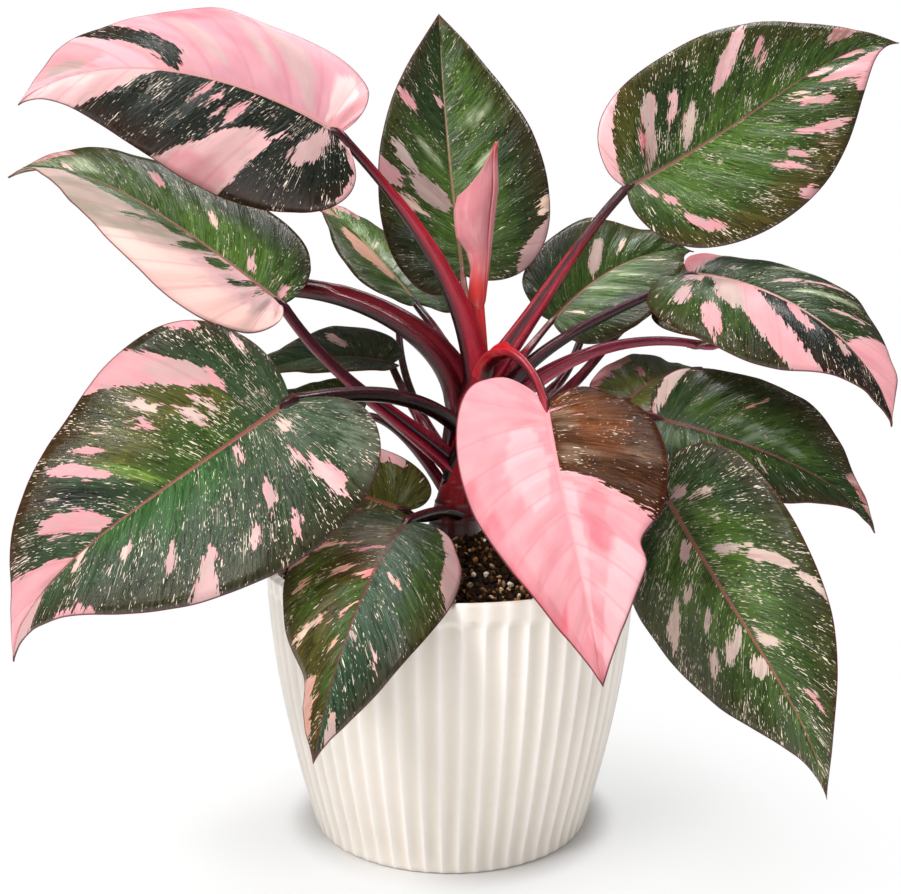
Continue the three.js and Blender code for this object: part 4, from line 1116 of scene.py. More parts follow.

# %% Painter's notes
# base: the tissue that the leaf has where no sector says otherwise. blush: the usual pink.
# Each patch: half, colour, from rho, to rho, first and last vein there, and both at its far end.
# Later patches lie over earlier ones.
# Silver and sheen patches are painted highlights; sage streaks and the teal green half of front_left
# are partly painted sheen.
LOOKS = {
    "left_high": dict(base="pink", tissue="black_green", blush="pink", flecks=0.75, rib="c98f8e",
             patches="""
        L pale_pink 0 1 0 1; R cool_pink 0 1 .26 .66; R cool_pale 0 1 .74 1;
        L black_green 0 1 .28 .72 .545 .805; L black_green 0 .26 .1 .5;
        L pale_pink .3 1 .375 .46 .375 .545; L black_green .12 1 .09 .37 .09 .365;
        L mauve .05 .52 .19 .29 .25 .325; L pink .84 1 .05 .17; L pink .1 .42 .482 .508;
        L pink .24 .4 .525 .54; L pink .08 .26 .59 .61; L pink .16 .26 .555 .57;
        L pale_pink .22 .34 .36 .375; L pink .75 1 .38 .52; L blush .1 .6 .84 .95;
        R black_green .28 1 .638 .7 .68 .755; R black_green .04 .5 .668 .7 .632 .7;
        R mauve .3 .95 .34 .4 .355 .42; R mauve .3 .75 .43 .45 .45 .47;
        R mauve .2 .85 .55 .575 .57 .6; R mauve .1 .5 .35 .375; R blush .2 .8 .2 .28;
        R deep_pink .85 1 .42 .6; R pink .35 1 .78 .9; R grey_pink .3 .8 .84 .9"""),
    "left_mid": dict(base="green", tissue="green", blush="pink", flecks=0.62, rib="9a6460",
             patches="""
        R mid_green 0 .5 .3 .6; R deep_green .5 1 .1 .5; R sage .2 .9 .8 .92;
        L shell .2 1 .04 .55 .02 .62; L pink 0 .3 0 .22; L pale_pink 0 .5 .1 .5;
        L stone .05 1 .5 .66 .54 1; L grey_pink .1 .8 .49 .53; L grey_pink .5 1 .8 .95;
        L green .05 .3 .42 .475; L green 0 .5 .66 .9; L deep_green .04 .3 .56 .66;
        L green 0 .22 .27 .31; L deep_green 0 .36 .345 .375; L green 0 .44 .5 .53;
        L green 0 .62 .6 .63; L mauve .1 .5 .2 .26; R pink .48 .74 .625 .65;
        R rose_brown .8 1 .8 .97; R pale_pink .06 .24 .38 .4; R pink .08 .32 .15 .22;
        R cream .3 .5 .5 .515; R cream .1 .5 .86 .88"""),
    # Its silver patch is a painted highlight.
    "left_low": dict(base="green", tissue="grey_green", blush="pink", flecks=0.85, rib="8a5049",
             patches="""
        R olive .05 .9 .36 .62; R green 0 .4 .4 .62; R olive_bronze .85 1 .4 .8;
        R deep_green .4 1 .05 .28; R yellow_green .15 .65 .6 .62; R black_green .04 .85 .65 .69;
        L vivid_green 0 .5 .45 .78 .5 .7; L silver .6 1 .12 .27 .14 .26;
        L deep_green .3 .8 .33 .46; R pink .35 1 .31 .36 .37 .47;
        R mauve .5 .8 .335 .365 .355 .41; R oat .48 .72 .45 .475; R grey_pink .2 .5 .705 .74;
        R mauve .1 .6 .86 .93; R oat .2 .42 .42 .45; R oat .25 .4 .39 .41; R pink .42 .6 .49 .51;
        R pink .88 1 .26 .31; R pale_pink .68 .92 .19 .215; R pink .62 .8 .57 .59;
        R pink .42 .88 .61 .635; R pink .05 .8 .705 .755; R pink 0 1 .81 1;
        L mauve .42 .63 .37 .395; L pale_pink .48 .88 .27 .3; L mauve .66 1 .495 .515 .48 .53;
        L mauve .58 .78 .57 .59; L oat .08 .22 .25 .3; L pale_pink .35 .48 .3 .32;
        L pale_pink .06 .2 .42 .44; L pink .72 .88 .34 .355; L pale_pink .66 .82 .41 .425;
        L oat .38 .55 .67 .685; L oat 0 .42 .78 .805; L pink .92 1 .7 .8; L mauve 0 1 .88 1"""),
    # Its sage streaks are partly painted sheen.
    "upright": dict(base="green", tissue="green", blush="pale_pink", flecks=0.5, rib="9c7a62",
             patches="""
        L deep_green 0 1 .66 1; L deep_green .3 1 .02 .34; L mid_green 0 .5 .3 .6;
        R deep_green .55 1 .3 .6; R mid_green 0 .6 .35 .6; R mid_green .2 .9 .64 .86;
        L pink .64 .99 .66 .7 .655 .68; L pink .08 .3 .772 .79;
        L grey_pink .03 .62 .455 .53 .45 .51; L ash .5 .87 .5 .53 .51 .56; L pink .7 1 .43 .475;
        L cream .42 .78 .4 .43; R mauve .76 1 .22 .29 .17 .33; R cream .85 1 .335 .36;
        R sage .35 .62 .665 .69; R sage .3 .5 .56 .575; L sage .3 .6 .6 .612"""),
    "right_high": dict(base="green", tissue="green", blush="pink", flecks=0.8, rib="90655a",
             patches="""
        L deep_green .1 .9 .25 .45; L olive .3 1 .1 .32; L mid_green 0 .3 .5 .8;
        R mid_green 0 .7 .25 .62; R olive .7 1 .2 .6; L glow .1 1 0 .08 0 .29;
        L grey_pink .08 .45 .335 .362 .318 .368; L grey_pink .43 .79 .318 .368 .33 .348;
        L deep_pink .15 .45 .308 .322; L pale_pink .36 .64 .392 .419; L oat .05 .46 .445 .477;
        L pale_pink .42 .97 .506 .545 .525 .573; L pink .69 .89 .6 .622; L pink .54 .67 .628 .644;
        L rose_brown .68 1 .78 .84; R pink .57 .86 .26 .297 .283 .314;
        R pale_pink .06 .29 .22 .258; R pink .29 .43 .265 .29; R pink .9 1 .42 .45;
        R pink .54 .82 .487 .504; R pink .6 .77 .527 .545; R pink .53 .94 .58 .605 .615 .65;
        R pink .34 .73 .685 .715; R cream .16 .46 .712 .727; R pink .87 1 .72 .79;
        R pink .36 1 .75 .775 .78 .92; R blush .02 .42 .79 .82; R pink 0 .55 .86 .91"""),
    # Its sage streaks are partly painted sheen.
    "right_behind": dict(base="green", tissue="green", blush="cream", flecks=0.35, rib="8e6050",
             patches="""
        L deep_green .2 1 .1 .45; R deep_green .4 1 .1 .5; R mid_green .05 .5 .4 .7;
        L grey_pink .1 .7 .52 .58; L cream .3 .7 .655 .67; R sage .15 .75 .5 .52;
        R sage .2 .7 .62 .64; R grey_pink .3 .75 .73 .745; R cream .1 .3 .3 .33"""),
    # Its sage streaks are partly painted sheen.
    "right_mid": dict(base="green", tissue="deep_green", blush="pink", flecks=0.7, rib="c99492",
             patches="""
        R green .3 1 0 .46; R black_green 0 1 .48 1 .62 1; R pink 0 1 .34 .505 .59 .685;
        R grey_pink 0 .5 .34 .44 .4 .47; R pink .5 .88 .34 .39; R mauve .34 .72 .25 .295;
        R pink .02 .42 .6 .66 .635 .69; R grey_pink .1 .5 .76 .785; R mauve 0 .25 .12 .3;
        L deep_pink 0 1 0 .2 0 .28; L pink 0 1 .8 1 .69 1; L sage .1 .8 .42 .44;
        L grey_pink .2 .9 .5 .515; L sage .1 .9 .56 .575; L grey_pink .4 .9 .64 .655"""),
    # Its silver patch is a painted highlight.
    "right_low": dict(base="green", tissue="deep_green", blush="pink", flecks=0.42, rib="70403a",
             patches="""
        L green .05 .7 .3 .78 .36 .8; L silver .2 .42 .48 .7 .54 .72; R green .1 .5 .3 .7;
        L pink 0 .7 0 .1 0 .17; L grey_pink .2 1 .1 .18 .17 .25; L rose_brown .72 1 .8 1 .76 1;
        L pink .5 .68 .475 .488; R grey_pink .4 .7 .5 .512; R grey_pink .2 .5 .62 .63"""),
    "right_front": dict(base="green", tissue="green", blush="oat", flecks=0.95, rib="8c584e",
             patches="""
        L grey_green .3 1 .1 .4; L mid_green .05 .6 .35 .7; R mid_green .05 .6 .3 .66;
        R deep_green 0 1 .1 .34; L ash .17 .46 .47 .485 .462 .5; L oat .44 .86 .462 .503 .49 .515;
        L oat .84 1 .5 .52 .53 .56; L oat .05 .42 .685 .718; L oat .3 .52 .298 .32;
        L mauve .1 .3 .2 .27; L pink .58 .82 .772 .79; R oat .06 .57 .66 .69 .633 .662;
        R oat .02 .42 .74 .778 .71 .742; R oat .58 .8 .59 .62; R oat .48 .9 .452 .472 .442 .49;
        R oat .3 .44 .478 .5; R oat .3 .5 .56 .58; R mauve .03 .22 .42 .46"""),
    # The sheen patches on its bronze half are painted highlights.
    "front": dict(base="pink", tissue="bare_bronze", blush="front_pink", flecks=0.35,
                  rib="dd8f95", skin="satin", patches="""
        L bare_bronze 0 1 0 .53 0 .575; L bronze .15 .8 .05 .45; L sheen .04 .3 .26 .35;
        L sheen .74 .9 .4 .46; L sheen .05 .26 .44 .49; L pink .03 .13 .2 .225;
        L pale_pink .3 .5 .298 .304; L front_rose .25 .6 .58 .72; L front_pale 0 .22 .57 .95;
        L front_pale .55 1 .68 .95; R front_rose .84 1 .45 1; R rose .93 1 .66 1;
        R front_pale .1 .55 .38 .6; R front_rose .2 1 .9 1; L front_rose 0 1 .95 1"""),
    # Its teal green half is partly the leaf's own green and partly a painted bluish sheen.
    "front_left": dict(base="green", tissue="olive_bronze", blush="peach", flecks=0.6, rib="5a3327",
             patches="""
        R olive .45 1 .34 .84; R yellow_green .62 .95 .46 .62; R deep_green 0 1 .1 .34;
        R green 0 .5 .6 .9; L teal_green 0 1 0 1; L green .4 1 .16 .56;
        R tan_rose .66 1 .78 .92 .72 .91; R deep_pink .08 .3 .46 .475; R peach .3 .5 .51 .53;
        R deep_pink 0 .14 .555 .58; R peach .5 .7 .63 .645; R deep_pink .2 .36 .66 .675;
        R peach .8 1 .4 .43; R peach .7 .95 .5 .515; R deep_pink .55 .75 .4 .412;
        R deep_pink .35 .5 .42 .43; R peach .25 .4 .73 .745; R cream .72 .95 .62 .64;
        L mauve .66 1 .2 .36 .1 .42; L pink .88 1 .2 .3; L grey_pink .5 1 .87 .93;
        L grey_pink .02 .3 .73 .75; L grey_pink .15 .4 .52 .54; L pale_pink .6 .76 .69 .7"""),
    "left_inner": dict(base="green", tissue="olive", blush="peach", flecks=0.5, rib="a0604c",
             patches="""
        R pink .7 1 .3 .6; L peach .2 .8 .4 .48"""),
    "left_rear_high": dict(base="green", tissue="mid_green", blush="peach", flecks=0.4, rib="b08a70",
             patches="""
        L peach .02 .75 .36 .62 .46 .68; L sage .3 .8 .25 .29; R green .3 1 .1 .6;
        L rose_brown .2 1 .8 1 .74 1; R rose_brown .6 1 .74 1; R yellow_green 0 .5 .5 .8;
        R cream .1 .4 .62 .64"""),
    "left_rear": dict(base="green", tissue="deep_green", blush="pink", flecks=0.4, rib="8a5a4c",
             patches="""
        L green .2 1 .3 .7; R pale_pink .3 .8 .45 .49"""),
    "right_small": dict(base="green", tissue="olive", blush="deep_pink", flecks=0.3, rib="8c5444",
             patches="""
        L deep_pink .7 1 .2 .5; R deep_pink .75 1 .3 .6; L deep_pink .2 .6 .5 .54"""),
}
print("painted leaves:", len(LOOKS))

# %% Notes for the other leaves
USUAL_LOOK = dict(base="green", tissue="green", blush="pink", flecks=0.6, rib="a07868")
SECTOR_COLOURS = ["pink", "pale_pink", "mauve", "cream", "deep_pink", "sage", "deep_green"]
SECTORS = 14


def read_patches(notes):
    """Rows of half, colour and numbers from a painter's notes."""
    rows = [note.split() for note in notes.split(";")]
    return [(half, colour, *map(float, numbers)) for half, colour, *numbers in rows]


def draw_patches(number):
    """Sectors drawn by lot, for a leaf without notes of its own."""
    lot = np.random.default_rng(100 + number)
    patches = []
    for _ in range(SECTORS):
        start = lot.uniform(0.12, 0.85)
        near = lot.choice([0.0, 0.1, 0.3, 0.5])
        far = min(1.0, near + lot.uniform(0.25, 0.7))
        wide = lot.uniform(0.012, 0.075)
        patches.append((lot.choice(["L", "R"]), lot.choice(SECTOR_COLOURS), near, far,
                        start, start + wide, start + 0.02, start + 1.5 * wide))
    return patches


def look_of(name, number):
    """Everything that a painter needs to know about one leaf."""
    look = dict(LOOKS.get(name, USUAL_LOOK))
    notes = look.get("patches")
    look["patches"] = read_patches(notes) if notes else draw_patches(number)
    return look


print("patches on the largest leaf:", len(look_of("left_low", 0)["patches"]))

# %% Shape of one patch
FEATHER = 0.45            # below 1, the ends of a sector fray more than its sides


def inside_patch(a, rho, mm_per_a, mm_per_rho, near, far, first, last, far_first, far_last):
    """Distance inside (+) or outside (-) one sector in mm, and half its width."""
    run = np.clip((rho - near) / (far - near), 0, 1)
    low = mixed(first, far_first, run)
    high = mixed(last, far_last, run)
    half = (high - low) / 2
    narrow = np.ones(a.shape)
    if near > 0:
        narrow = narrow * np.sqrt(np.clip(run * 4, 0, 1))
    if far < 1:
        narrow = narrow * np.sqrt(np.clip((1 - run) * 4, 0, 1))
    inside = (half * narrow - np.abs(a - (low + high) / 2)) * mm_per_a
    if near > 0:
        inside = np.minimum(inside, (rho - near) * mm_per_rho * FEATHER)
    if far < 1:
        inside = np.minimum(inside, (far - rho) * mm_per_rho * FEATHER)
    return inside, half * mm_per_a


middle = inside_patch(np.array(0.5), np.array(0.5), 100.0, 50.0, 0, 1, 0.4, 0.6, 0.4, 0.6)
print("inside a patch 20 mm wide, at its middle:", np.round(middle[0], 1), "mm")

# %% Painting one half
FAR = 9.0                 # mm beyond which the distance to a sector's border is of no interest
MELT = 7.0                # mm over which one green melts into the next
TIP_STARTS = 0.955        # where the dry tip starts, as a share of the outline


def paint_half(look, half, a, rho, mm_per_a, mm_per_rho):
    """Distance inside (+) or outside (-) the sectors without green, and both tissues' colours."""
    field = np.full(a.shape, FAR if look["base"] == "pink" else -FAR)
    tissue = np.tile(COLOURS[look["tissue"]], a.shape + (1,))
    blush = np.tile(COLOURS[look["blush"]], a.shape + (1,))
    wander = 2.2 * np.sin(53 * a + 4 * rho) + 1.4 * np.sin(131 * a - 7 * rho)
    for where, colour, near, far, *veins in look["patches"]:
        if where != half:
            continue
        inside, wide = inside_patch(a, rho, mm_per_a, mm_per_rho, near, far, *(veins * 2)[:4])
        if colour in GREENS:
            field = np.minimum(field, -inside)
            share = smooth_step(-0.8, 1.0, (inside + wander) / np.clip(wide, 1.5, MELT))
            tissue = mixed(tissue, COLOURS[colour], share[..., None])
        else:
            field = np.maximum(field, inside)
            share = smooth_step(-2.5, 0.5, inside + 0.5 * wander)
            blush = mixed(blush, COLOURS[colour], share[..., None])
    tip = 0.8 * smooth_step(TIP_STARTS, 1.0, a)[..., None]
    tissue = mixed(tissue, DRY_TIP, tip) * (1.14 - 0.34 * smooth_step(0, 0.9, rho))[..., None]
    tissue = mixed(tissue, RIM_BROWN, 0.4 * smooth_step(0.60, 1.0, rho)[..., None])
    return np.clip(field, -FAR, FAR), tissue, mixed(blush, DRY_TIP, tip)


print("distances are kept up to", FAR, "mm")

# %% [markdown]
# ### Leaf skin as a shader group
# The upper and lower faces need the same pattern, in stronger and weaker colours, so the pattern
# is one shader group. It reads millimetres along and across the veins, adds three sizes of streaky
# noise to the distance from the sectors' border, and cuts at zero. Four more noises make specks,
# scratches, dashes and blots. All noise is drawn out along the veins, because a group of cells
# that lost its green grows into a streak between two veins, never into a round spot.

# %% Variegation group: the sectors' ragged border
variegation, given, result = start_group(
    "variegation",
    [("Vector", VECTOR, None), ("Border", FLOAT, 0.0), ("Tissue", COLOUR, (0.1, 0.2, 0.05, 1)),
     ("Blush", COLOUR, (0.9, 0.5, 0.5, 1)), ("Flecks", FLOAT, 0.5), ("Veins", FLOAT, 0.0)],
    [("Color", COLOUR), ("Pale", FLOAT), ("Grain", FLOAT), ("Wrinkle", FLOAT)])
g = variegation
mm, border = given["Vector"], given["Border"]

# Noise across the veins, along them, its shift, and how many mm it moves the border.
BORDER_NOISE = [(3.0, 12.0, 0.0, 7.0), (0.9, 6.0, 3.0, 7.0), (0.45, 2.4, 5.0, 3.0)]
rough_border = border
for wide, long, shift, strength in BORDER_NOISE:
    noise = calc(g, "SUBTRACT", streak(g, mm, wide, long, shift), 0.5)
    rough_border = calc(g, "MULTIPLY_ADD", noise, strength, rough_border)
sector = step_between(g, rough_border, -0.14, 0.14)
print("group started:", g.name)

# %% Variegation group: flecks and dashes
# Noise across, along, shift, detail, and the two limits between which a mark fades in.
MARKS = {
    "speck": (0.42, 2.5, 11.0, 1.0, 0.0, 0.03),
    "scratch": (0.34, 20.0, 53.0, 1.0, 0.05, 0.08),
    "dash": (0.85, 7.0, 17.0, 1.5, 0.01, 0.05),
    "blot": (1.5, 10.0, 67.0, 2.0, 0.03, 0.05),
}
RAREST = 0.924            # limit where there are no flecks at all

cluster = streak(g, mm, 9.0, 18.0, 13.0)
abundance = calc(g, "MULTIPLY_ADD", cluster, 0.34, calc(g, "MULTIPLY", given["Flecks"], 0.085))
limit = calc(g, "SUBTRACT", RAREST, abundance)
masks = {}
for name, (wide, long, shift, detail, low, high) in MARKS.items():
    over = calc(g, "SUBTRACT", streak(g, mm, wide, long, shift, detail), limit)
    masks[name] = step_between(g, over, low, high)
small = masks["speck"]
for name in ("scratch", "dash", "blot"):
    small = calc(g, "MAXIMUM", small, masks[name])
print("kinds of marks:", list(MARKS))

# %% Variegation group: colour of the green tissue
broad = streak(g, mm, 4.5, 13.0, 23.0)
thin = streak(g, mm, 1.2, 7.0, 29.0)
drift = streak(g, mm, 0.8, 9.0, 41.0)
# The light streaks are partly a paler green in the tissue and partly a painted sheen.
light = step_between(g, calc(g, "MULTIPLY_ADD", thin, 0.5, broad), 0.79, 0.84)
dark = step_between(g, calc(g, "MULTIPLY_ADD", thin, -0.5, broad), 0.265, 0.30)
vein_line = step_between(g, calc(g, "PINGPONG", given["Veins"], 0.5), 0.09, 0.0)
tone = calc(g, "MULTIPLY_ADD", dark, -0.42, 0.70)
for mask, strength in [(light, 0.55), (drift, 0.6), (vein_line, 0.45)]:
    tone = calc(g, "MULTIPLY_ADD", mask, strength, tone)
green = scaled(g, given["Tissue"], tone)
print("nodes so far:", len(g.nodes))

# %% Variegation group: colour of the pink tissue
CREAM, GHOST = tint("e6d8c4"), tint("ad9a94")

near_border = step_between(g, border, 9.0, 1.0)
ghost = step_between(g, streak(g, mm, 2.6, 9.0, 37.0), 0.5, 0.58)
ghost = calc(g, "MULTIPLY", calc(g, "MULTIPLY", ghost, near_border), 0.6)
pink = blend(g, ghost, given["Blush"], GHOST)
wash = step_between(g, streak(g, mm, 12.0, 18.0, 31.0), 0.35, 0.65, "LINEAR")
fine_lines = step_between(g, streak(g, mm, 0.5, 26.0, 43.0), 0.35, 0.65, "LINEAR")
for mask, strength, code in [(wash, 0.22, "e6c0c0"), (vein_line, 0.26, "b5656f"),
                             (fine_lines, 0.10, "cf7f87")]:
    pink = blend(g, calc(g, "MULTIPLY", mask, strength), pink, tint(code))
print("nodes so far:", len(g.nodes))

# %% Variegation group: what it puts out
tinge = calc(g, "MULTIPLY", step_between(g, broad, 0.45, 0.65), 0.45)
speck_colour = blend(g, tinge, CREAM, given["Blush"])
speck_colour = blend(g, calc(g, "MULTIPLY", masks["blot"], 0.6), speck_colour, GHOST)
join(g, result["Color"], blend(g, sector, blend(g, small, green, speck_colour), pink))
join(g, result["Pale"], calc(g, "MAXIMUM", sector, small))
join(g, result["Grain"], streak(g, mm, 0.35, 9.0, 47.0, 3.0))
join(g, result["Wrinkle"], streak(g, mm, 1.7, 10.0, 59.0, 1.0))
print("group made:", g.name, len(g.nodes), "nodes")


# %% Leaf finishes
def leaf_finish(name, gloss, under=False):
    """Upper or lower skin of a leaf, with its midrib and dark red edge."""
    material, tree, shader = new_material(name, Specular_IOR_Level=gloss)
    marks = put(tree, "ShaderNodeSeparateXYZ", {0: stored(tree, "marks", "Vector")})
    from_edge, from_rib, veins = marks.outputs
    skin = group_node(tree, variegation, {
        "Vector": put(tree, "ShaderNodeUVMap", uv_map="vein_mm").outputs[0],
        "Border": stored(tree, "border"), "Tissue": stored(tree, "tissue", "Color"),
        "Blush": stored(tree, "blush", "Color"), "Flecks": stored(tree, "flecks"),
        "Veins": veins})
    colour, pale, grain = (skin.outputs[key] for key in ("Color", "Pale", "Grain"))
    if under:
        colour = blend(tree, 0.55, colour, blend(tree, pale, tint("6f7b55"), tint("d9b7ae")))
        vein = step_between(tree, calc(tree, "PINGPONG", veins, 0.5), 0.10, 0.0)
        colour = blend(tree, calc(tree, "MULTIPLY", vein, 0.4), colour, tint("a9a083"))
    in_rib = step_between(tree, from_rib, 0.25, -0.15)
    colour = blend(tree, calc(tree, "MULTIPLY", in_rib, 0.85), colour, stored(tree, "rib", "Color"))
    brink = step_between(tree, from_edge, 0.75, 0.25)
    colour = blend(tree, calc(tree, "MULTIPLY", brink, 0.85), colour, tint("571b22"))
    join(tree, shader.inputs["Base Color"], colour)
    rough = calc(tree, "MULTIPLY_ADD", pale, 0.24, 0.50 if under else 0.21)
    join(tree, shader.inputs["Roughness"], calc(tree, "MULTIPLY_ADD", grain, 0.14, rough))
    emboss(tree, shader, calc(tree, "MULTIPLY_ADD", grain, 0.4, skin.outputs["Wrinkle"]),
           calc(tree, "MULTIPLY_ADD", pale, -0.40, 0.60), 0.0006)
    return material


leaf_top = leaf_finish("leaf_top", 0.5)
leaf_satin = leaf_finish("leaf_satin", 0.12)
leaf_under = leaf_finish("leaf_under", 0.25, under=True)
print("finishes made:", leaf_top.name, leaf_satin.name, leaf_under.name)

# %% [markdown]
# ### From measures to a mesh
# Each half is a grid, finer near the midrib, where the groove needs it. The two halves share the
# midrib's points, and the upper and lower faces join round the edge, so the blade is one closed
# solid. The skin between two side veins stands a little proud, which gives the quilted light and
# shade. Distances to the edge and midrib are stored at the face corners, because a corner can hold
# one value for the left half and another for the right at a shared point.

# %% Relief of half a blade
ALONG = 120               # steps round the outline of one half
ACROSS = 20               # steps from the midrib out to the edge
HALF_POINTS = (ALONG + 1) * (ACROSS + 1)
CROWDING = 1.45           # above 1, the grid is finer near the midrib
BLADE_TOP = 0.40          # mm from the middle surface to the upper skin
BLADE_UNDER = 0.35
MIDRIB = 1.5              # mm that the midrib stands out below
GROOVE = 0.40             # depth of the groove over it
SIDE_VEINS = 12
QUILT = 0.85              # height of the skin between side veins
RIPPLE = 0.35             # height of the small waves along the edge
LEAF_SHIFT = 60.0         # mm between the maps of two leaves, so their noise differs
HALF_SHIFT = 1500.0       # mm between the maps of the two halves of a leaf


def half_grid(leaf, look, right, number):
    """Surface points and everything that the skin reads, for one half."""
    a_line = np.linspace(0, 1, ALONG + 1)
    rho_line = np.linspace(0, 1, ACROSS + 1) ** CROWDING
    a, rho = np.meshgrid(a_line, rho_line, indexing="ij")
    point, normal, vein = blade_surface(leaf, right, a, rho)
    mm_per_a = np.linalg.norm(np.gradient(point, a_line, axis=0), axis=-1)
    mm_per_rho = np.linalg.norm(np.gradient(point, rho_line, axis=1), axis=-1)
    out = np.stack([run_of(line) for line in point])
    phase = a * SIDE_VEINS + 0.35 * np.sin(5 * a + number)
    height = np.minimum(QUILT, 0.10 * mm_per_a / SIDE_VEINS)
    height = height * (0.75 + 0.25 * np.sin(4.7 * phase + number))
    quilt = height * np.sin(math.pi * phase) ** 2 * smooth_step(0, 0.3, rho) * (1 - 0.7 * rho ** 3)
    ripple = (RIPPLE * rho ** 4 * np.sin(2 * math.pi * 6.5 * a + number)
              * np.minimum(1, 6 * (1 - a)))
    slim = 1 - vein
    groove = GROOVE * slim * np.exp(-(out / 1.1) ** 2)
    ridge = MIDRIB * slim ** 0.8 * np.exp(-(out / 1.3) ** 2)
    thin = 1 - 0.5 * smooth_step(0.9, 1.0, rho)
    lift = quilt + ripple
    run = run_of(point[:, np.searchsorted(rho_line, 0.6)])
    shift = LEAF_SHIFT * number + (0 if right else HALF_SHIFT)
    rib_half = 0.28 + 0.85 * slim ** 0.9
    border, tissue, blush = paint_half(look, "R" if right else "L", a, rho, mm_per_a, mm_per_rho)
    return dict(top=point + normal * (BLADE_TOP * thin - groove + lift)[..., None],
                under=point - normal * (BLADE_UNDER * thin + ridge - lift)[..., None],
                uv=np.stack([run[:, None] + shift + 0 * rho, out], -1),
                marks=np.stack([out[:, -1:] - out, out - rib_half, phase], -1),
                border=border, tissue=tissue, blush=blush)


print("points on one half of a face:", HALF_POINTS)

# %% Faces of a blade
UPPER, LOWER = 0, 1       # places of the two skins in a blade's list of materials


def blade_faces():
    """Key of each face corner, the keys that own a point, the faces and their skins."""
    # Four sheets of keys: right top, left top, right under, left under. The halves share the
    # points of the midrib, and on each face the notch and the tip are one point.
    index = np.arange(HALF_POINTS).reshape(ALONG + 1, ACROSS + 1)
    owner = np.arange(4 * HALF_POINTS).reshape(4, ALONG + 1, ACROSS + 1)
    for layer in (0, 2):
        owner[layer + 1, :, 0] = owner[layer, :, 0]
        for end in (0, -1):
            owner[layer:layer + 2, end, :] = owner[layer, end, 0]
    owners, vertex = np.unique(owner.ravel(), return_inverse=True)
    cells = np.stack([index[:-1, :-1], index[:-1, 1:], index[1:, 1:], index[1:, :-1]], -1)
    cells = cells.reshape(-1, 4)
    turned = cells[:, ::-1]
    brink = np.stack([index[1:, -1], index[:-1, -1]], -1)
    right_top, left_top, right_under, left_under = np.arange(4) * HALF_POINTS
    sheets = [(cells + right_top, UPPER), (turned + left_top, UPPER),
              (turned + right_under, LOWER), (cells + left_under, LOWER),
              (np.concatenate([brink + right_top, brink[:, ::-1] + right_under], 1), LOWER),
              (np.concatenate([brink[:, ::-1] + left_top, brink + left_under], 1), LOWER)]
    keys, faces, skins = [], [], []
    for quads, skin in sheets:
        for quad in quads.tolist():
            corners = {}
            for key in quad:
                corners.setdefault(int(vertex[key]), key)
            if len(corners) > 2:
                keys.extend(corners.values())
                faces.append(list(corners))
                skins.append(skin)
    return np.array(keys) % (2 * HALF_POINTS), owners, faces, skins


CORNERS, OWNERS, BLADE_FACES, BLADE_SKINS = blade_faces()
print("faces of one blade:", len(BLADE_FACES))

# %% Blades
PINK_BLADES = ("front", "left_high")


def make_blade(leaf, number):
    """One closed blade with its painted attributes."""
    look = look_of(leaf["name"], number)
    halves = [half_grid(leaf, look, right, number) for right in (True, False)]

    def corners(key):
        """A value of both halves at each face corner."""
        values = np.concatenate([half[key].reshape(HALF_POINTS, -1) for half in halves])
        return values[CORNERS]

    positions = np.concatenate([half[sheet].reshape(-1, 3)
                                for sheet in ("top", "under") for half in halves])
    upper = leaf_satin if look.get("skin") == "satin" else leaf_top
    blade = mesh_object("leaf_" + leaf["name"], positions[OWNERS], BLADE_FACES,
                        [upper, leaf_under])
    mesh = blade.data
    mesh.polygons.foreach_set("material_index", BLADE_SKINS)
    set_uv(mesh, "vein_mm", corners("uv"))
    for name in ("tissue", "blush"):
        set_colours(mesh, name, corners(name), "CORNER")
    set_colours(mesh, "rib", linear(look["rib"]))
    border = mesh.attributes.new("border", "FLOAT", "CORNER")
    border.data.foreach_set("value", corners("border").ravel())
    marks = mesh.attributes.new("marks", "FLOAT_VECTOR", "CORNER")
    marks.data.foreach_set("vector", corners("marks").ravel())
    flecks = mesh.attributes.new("flecks", "FLOAT", "POINT")
    flecks.data.foreach_set("value", np.full(len(mesh.vertices), float(look["flecks"])))
    slot = "blade_pink" if leaf["name"] in PINK_BLADES else "blade_green"
    settle(blade, slot, "blade_" + leaf["name"])


for number, leaf in enumerate(LEAVES.values()):
    if leaf["name"] != "furled":
        make_blade(leaf, number)

# %% [markdown]
# ## The new leaf
# A new blade comes out of its sheath rolled up tight. It could be a tapered tube, but then its
# mouth would look sawn off. Here a sheet is really rolled: its points are found from a turn angle
# and a height, each turn lies a little inside the one before, and the top is cut slantwise, which
# leaves the point on one side and a dark slit down into the roll.

# %% Roll of the new leaf
FURL_FOOT = (12, 14, 237.6)
FURL_LEAN = (0.115, 0.03)
FURL_HEIGHTS = [-6, -2, 2, 17, 24, 31, 43, 57, 74]
FURL_RADII = [2.2, 3.2, 3.9, 4.3, 5.6, 8.6, 10.3, 10.0, 9.0]
FURL_NECK = 3.9           # radius of the slim part, whose left side stays straight
FURL_CORNER = 50          # height of the lowest place of the slanting mouth
FURL_TIP = 75
FURL_BURIED = 6           # mm that the roll reaches down into its stalk
FURL_DEPTH = 0.8          # the roll is this much thinner from front to back
FURL_START = math.radians(-38)
FURL_TURN = math.radians(430)
FURL_COLUMNS = 110
FURL_ROWS = 60
SHEET = 0.35              # half the thickness of the sheet

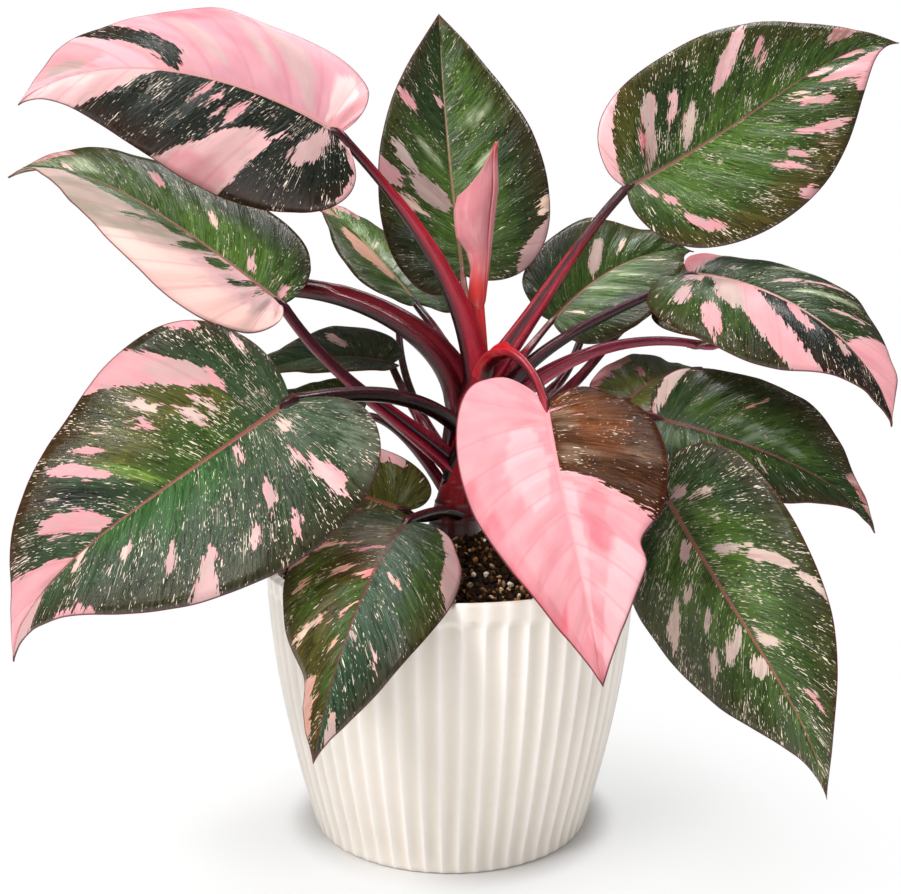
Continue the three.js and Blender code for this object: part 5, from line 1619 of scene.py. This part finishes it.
wrap, share = np.meshgrid(np.linspace(0, 1, FURL_COLUMNS), np.linspace(0, 1, FURL_ROWS),
                          indexing="ij")
angle = FURL_START + FURL_TURN * wrap
slant = ((1 + np.cos(angle)) / 2) ** 1.4
top = FURL_CORNER + (FURL_TIP - FURL_CORNER) * slant
height = share * (top + FURL_BURIED) - FURL_BURIED
radius = np.interp(height, FURL_HEIGHTS, FURL_RADII)
middle = FURL_FOOT[0] + FURL_LEAN[0] * height - np.maximum(radius - FURL_NECK, 0)
closing = 1 - 0.30 * smooth_step(0.72, 1, share) * (0.4 + 0.6 * slant)
inward = 1 - 0.16 * wrap * smooth_step(0, 20, height)
depth = 1 - (1 - FURL_DEPTH) * smooth_step(4, 30, height)


def rolled(offset):
    """One face of the sheet, a little outside or inside its middle."""
    r = radius * closing * inward + offset
    return np.stack([middle + r * np.cos(angle),
                     FURL_FOOT[1] + FURL_LEAN[1] * height + r * depth * np.sin(angle),
                     FURL_FOOT[2] + height], -1).reshape(-1, 3)


furl_points = np.concatenate([rolled(SHEET), rolled(-SHEET)])
print("turns of the roll:", round(float(FURL_TURN / (2 * math.pi)), 2))

# %% Faces of the roll
INNER = FURL_COLUMNS * FURL_ROWS     # the inner face's points come after the outer face's
index = np.arange(INNER).reshape(FURL_COLUMNS, FURL_ROWS)


def strip(line):
    """Quads that join one border of the outer face to the inner face."""
    return np.stack([line[:-1], line[1:], line[1:] + INNER, line[:-1] + INNER], -1)


cells = np.stack([index[:-1, :-1], index[1:, :-1], index[1:, 1:], index[:-1, 1:]], -1).reshape(-1, 4)
quads = np.concatenate([cells, cells[:, ::-1] + INNER,
                        strip(index[:, 0])[:, ::-1], strip(index[:, -1]),
                        strip(index[0, :]), strip(index[-1, :])[:, ::-1]])
print("faces of the roll:", len(quads))

# %% Finish of the young leaf
young, tree, shader = new_material("young_leaf", Specular_IOR_Level=0.45)
mm = put(tree, "ShaderNodeUVMap", uv_map="vein_mm").outputs[0]
own = stored(tree, "skin", "Color")
lines = streak(tree, mm, 0.8, 34.0, 3.0)
clouds = streak(tree, mm, 5.0, 14.0, 9.0)
deep = blend(tree, step_between(tree, lines, 0.4, 0.68), own, tint("b04f5b"))
pale = calc(tree, "MULTIPLY", step_between(tree, clouds, 0.45, 0.7), 0.4)
join(tree, shader.inputs["Base Color"],
     blend(tree, pale, blend(tree, 0.12, own, deep), tint("d9a4a6")))
join(tree, shader.inputs["Roughness"], calc(tree, "MULTIPLY_ADD", clouds, 0.2, 0.28))
emboss(tree, shader, lines, 0.2, 0.0003)
print("finish made:", young.name)

# %% New leaf
furl = mesh_object("new_leaf", furl_points, quads.tolist(), [young])
low = smooth_step(4, 30, height)[..., None]
high = smooth_step(0.86, 1.0, share)[..., None] * smooth_step(0.5, 1, slant)[..., None]
colour = mixed(linear("cc3432"), linear("c98087"), low)
colour = mixed(colour, linear("b02a38"), 0.8 * high).reshape(-1, 3)
set_colours(furl.data, "skin", np.concatenate([colour, colour * (0.75, 0.5, 0.5)]))
uv = np.stack([angle * 9.0, height], -1).reshape(-1, 2)
point_uv(furl.data, "vein_mm", np.concatenate([uv, uv]))
settle(furl, "blade_pink", "blade_furled")
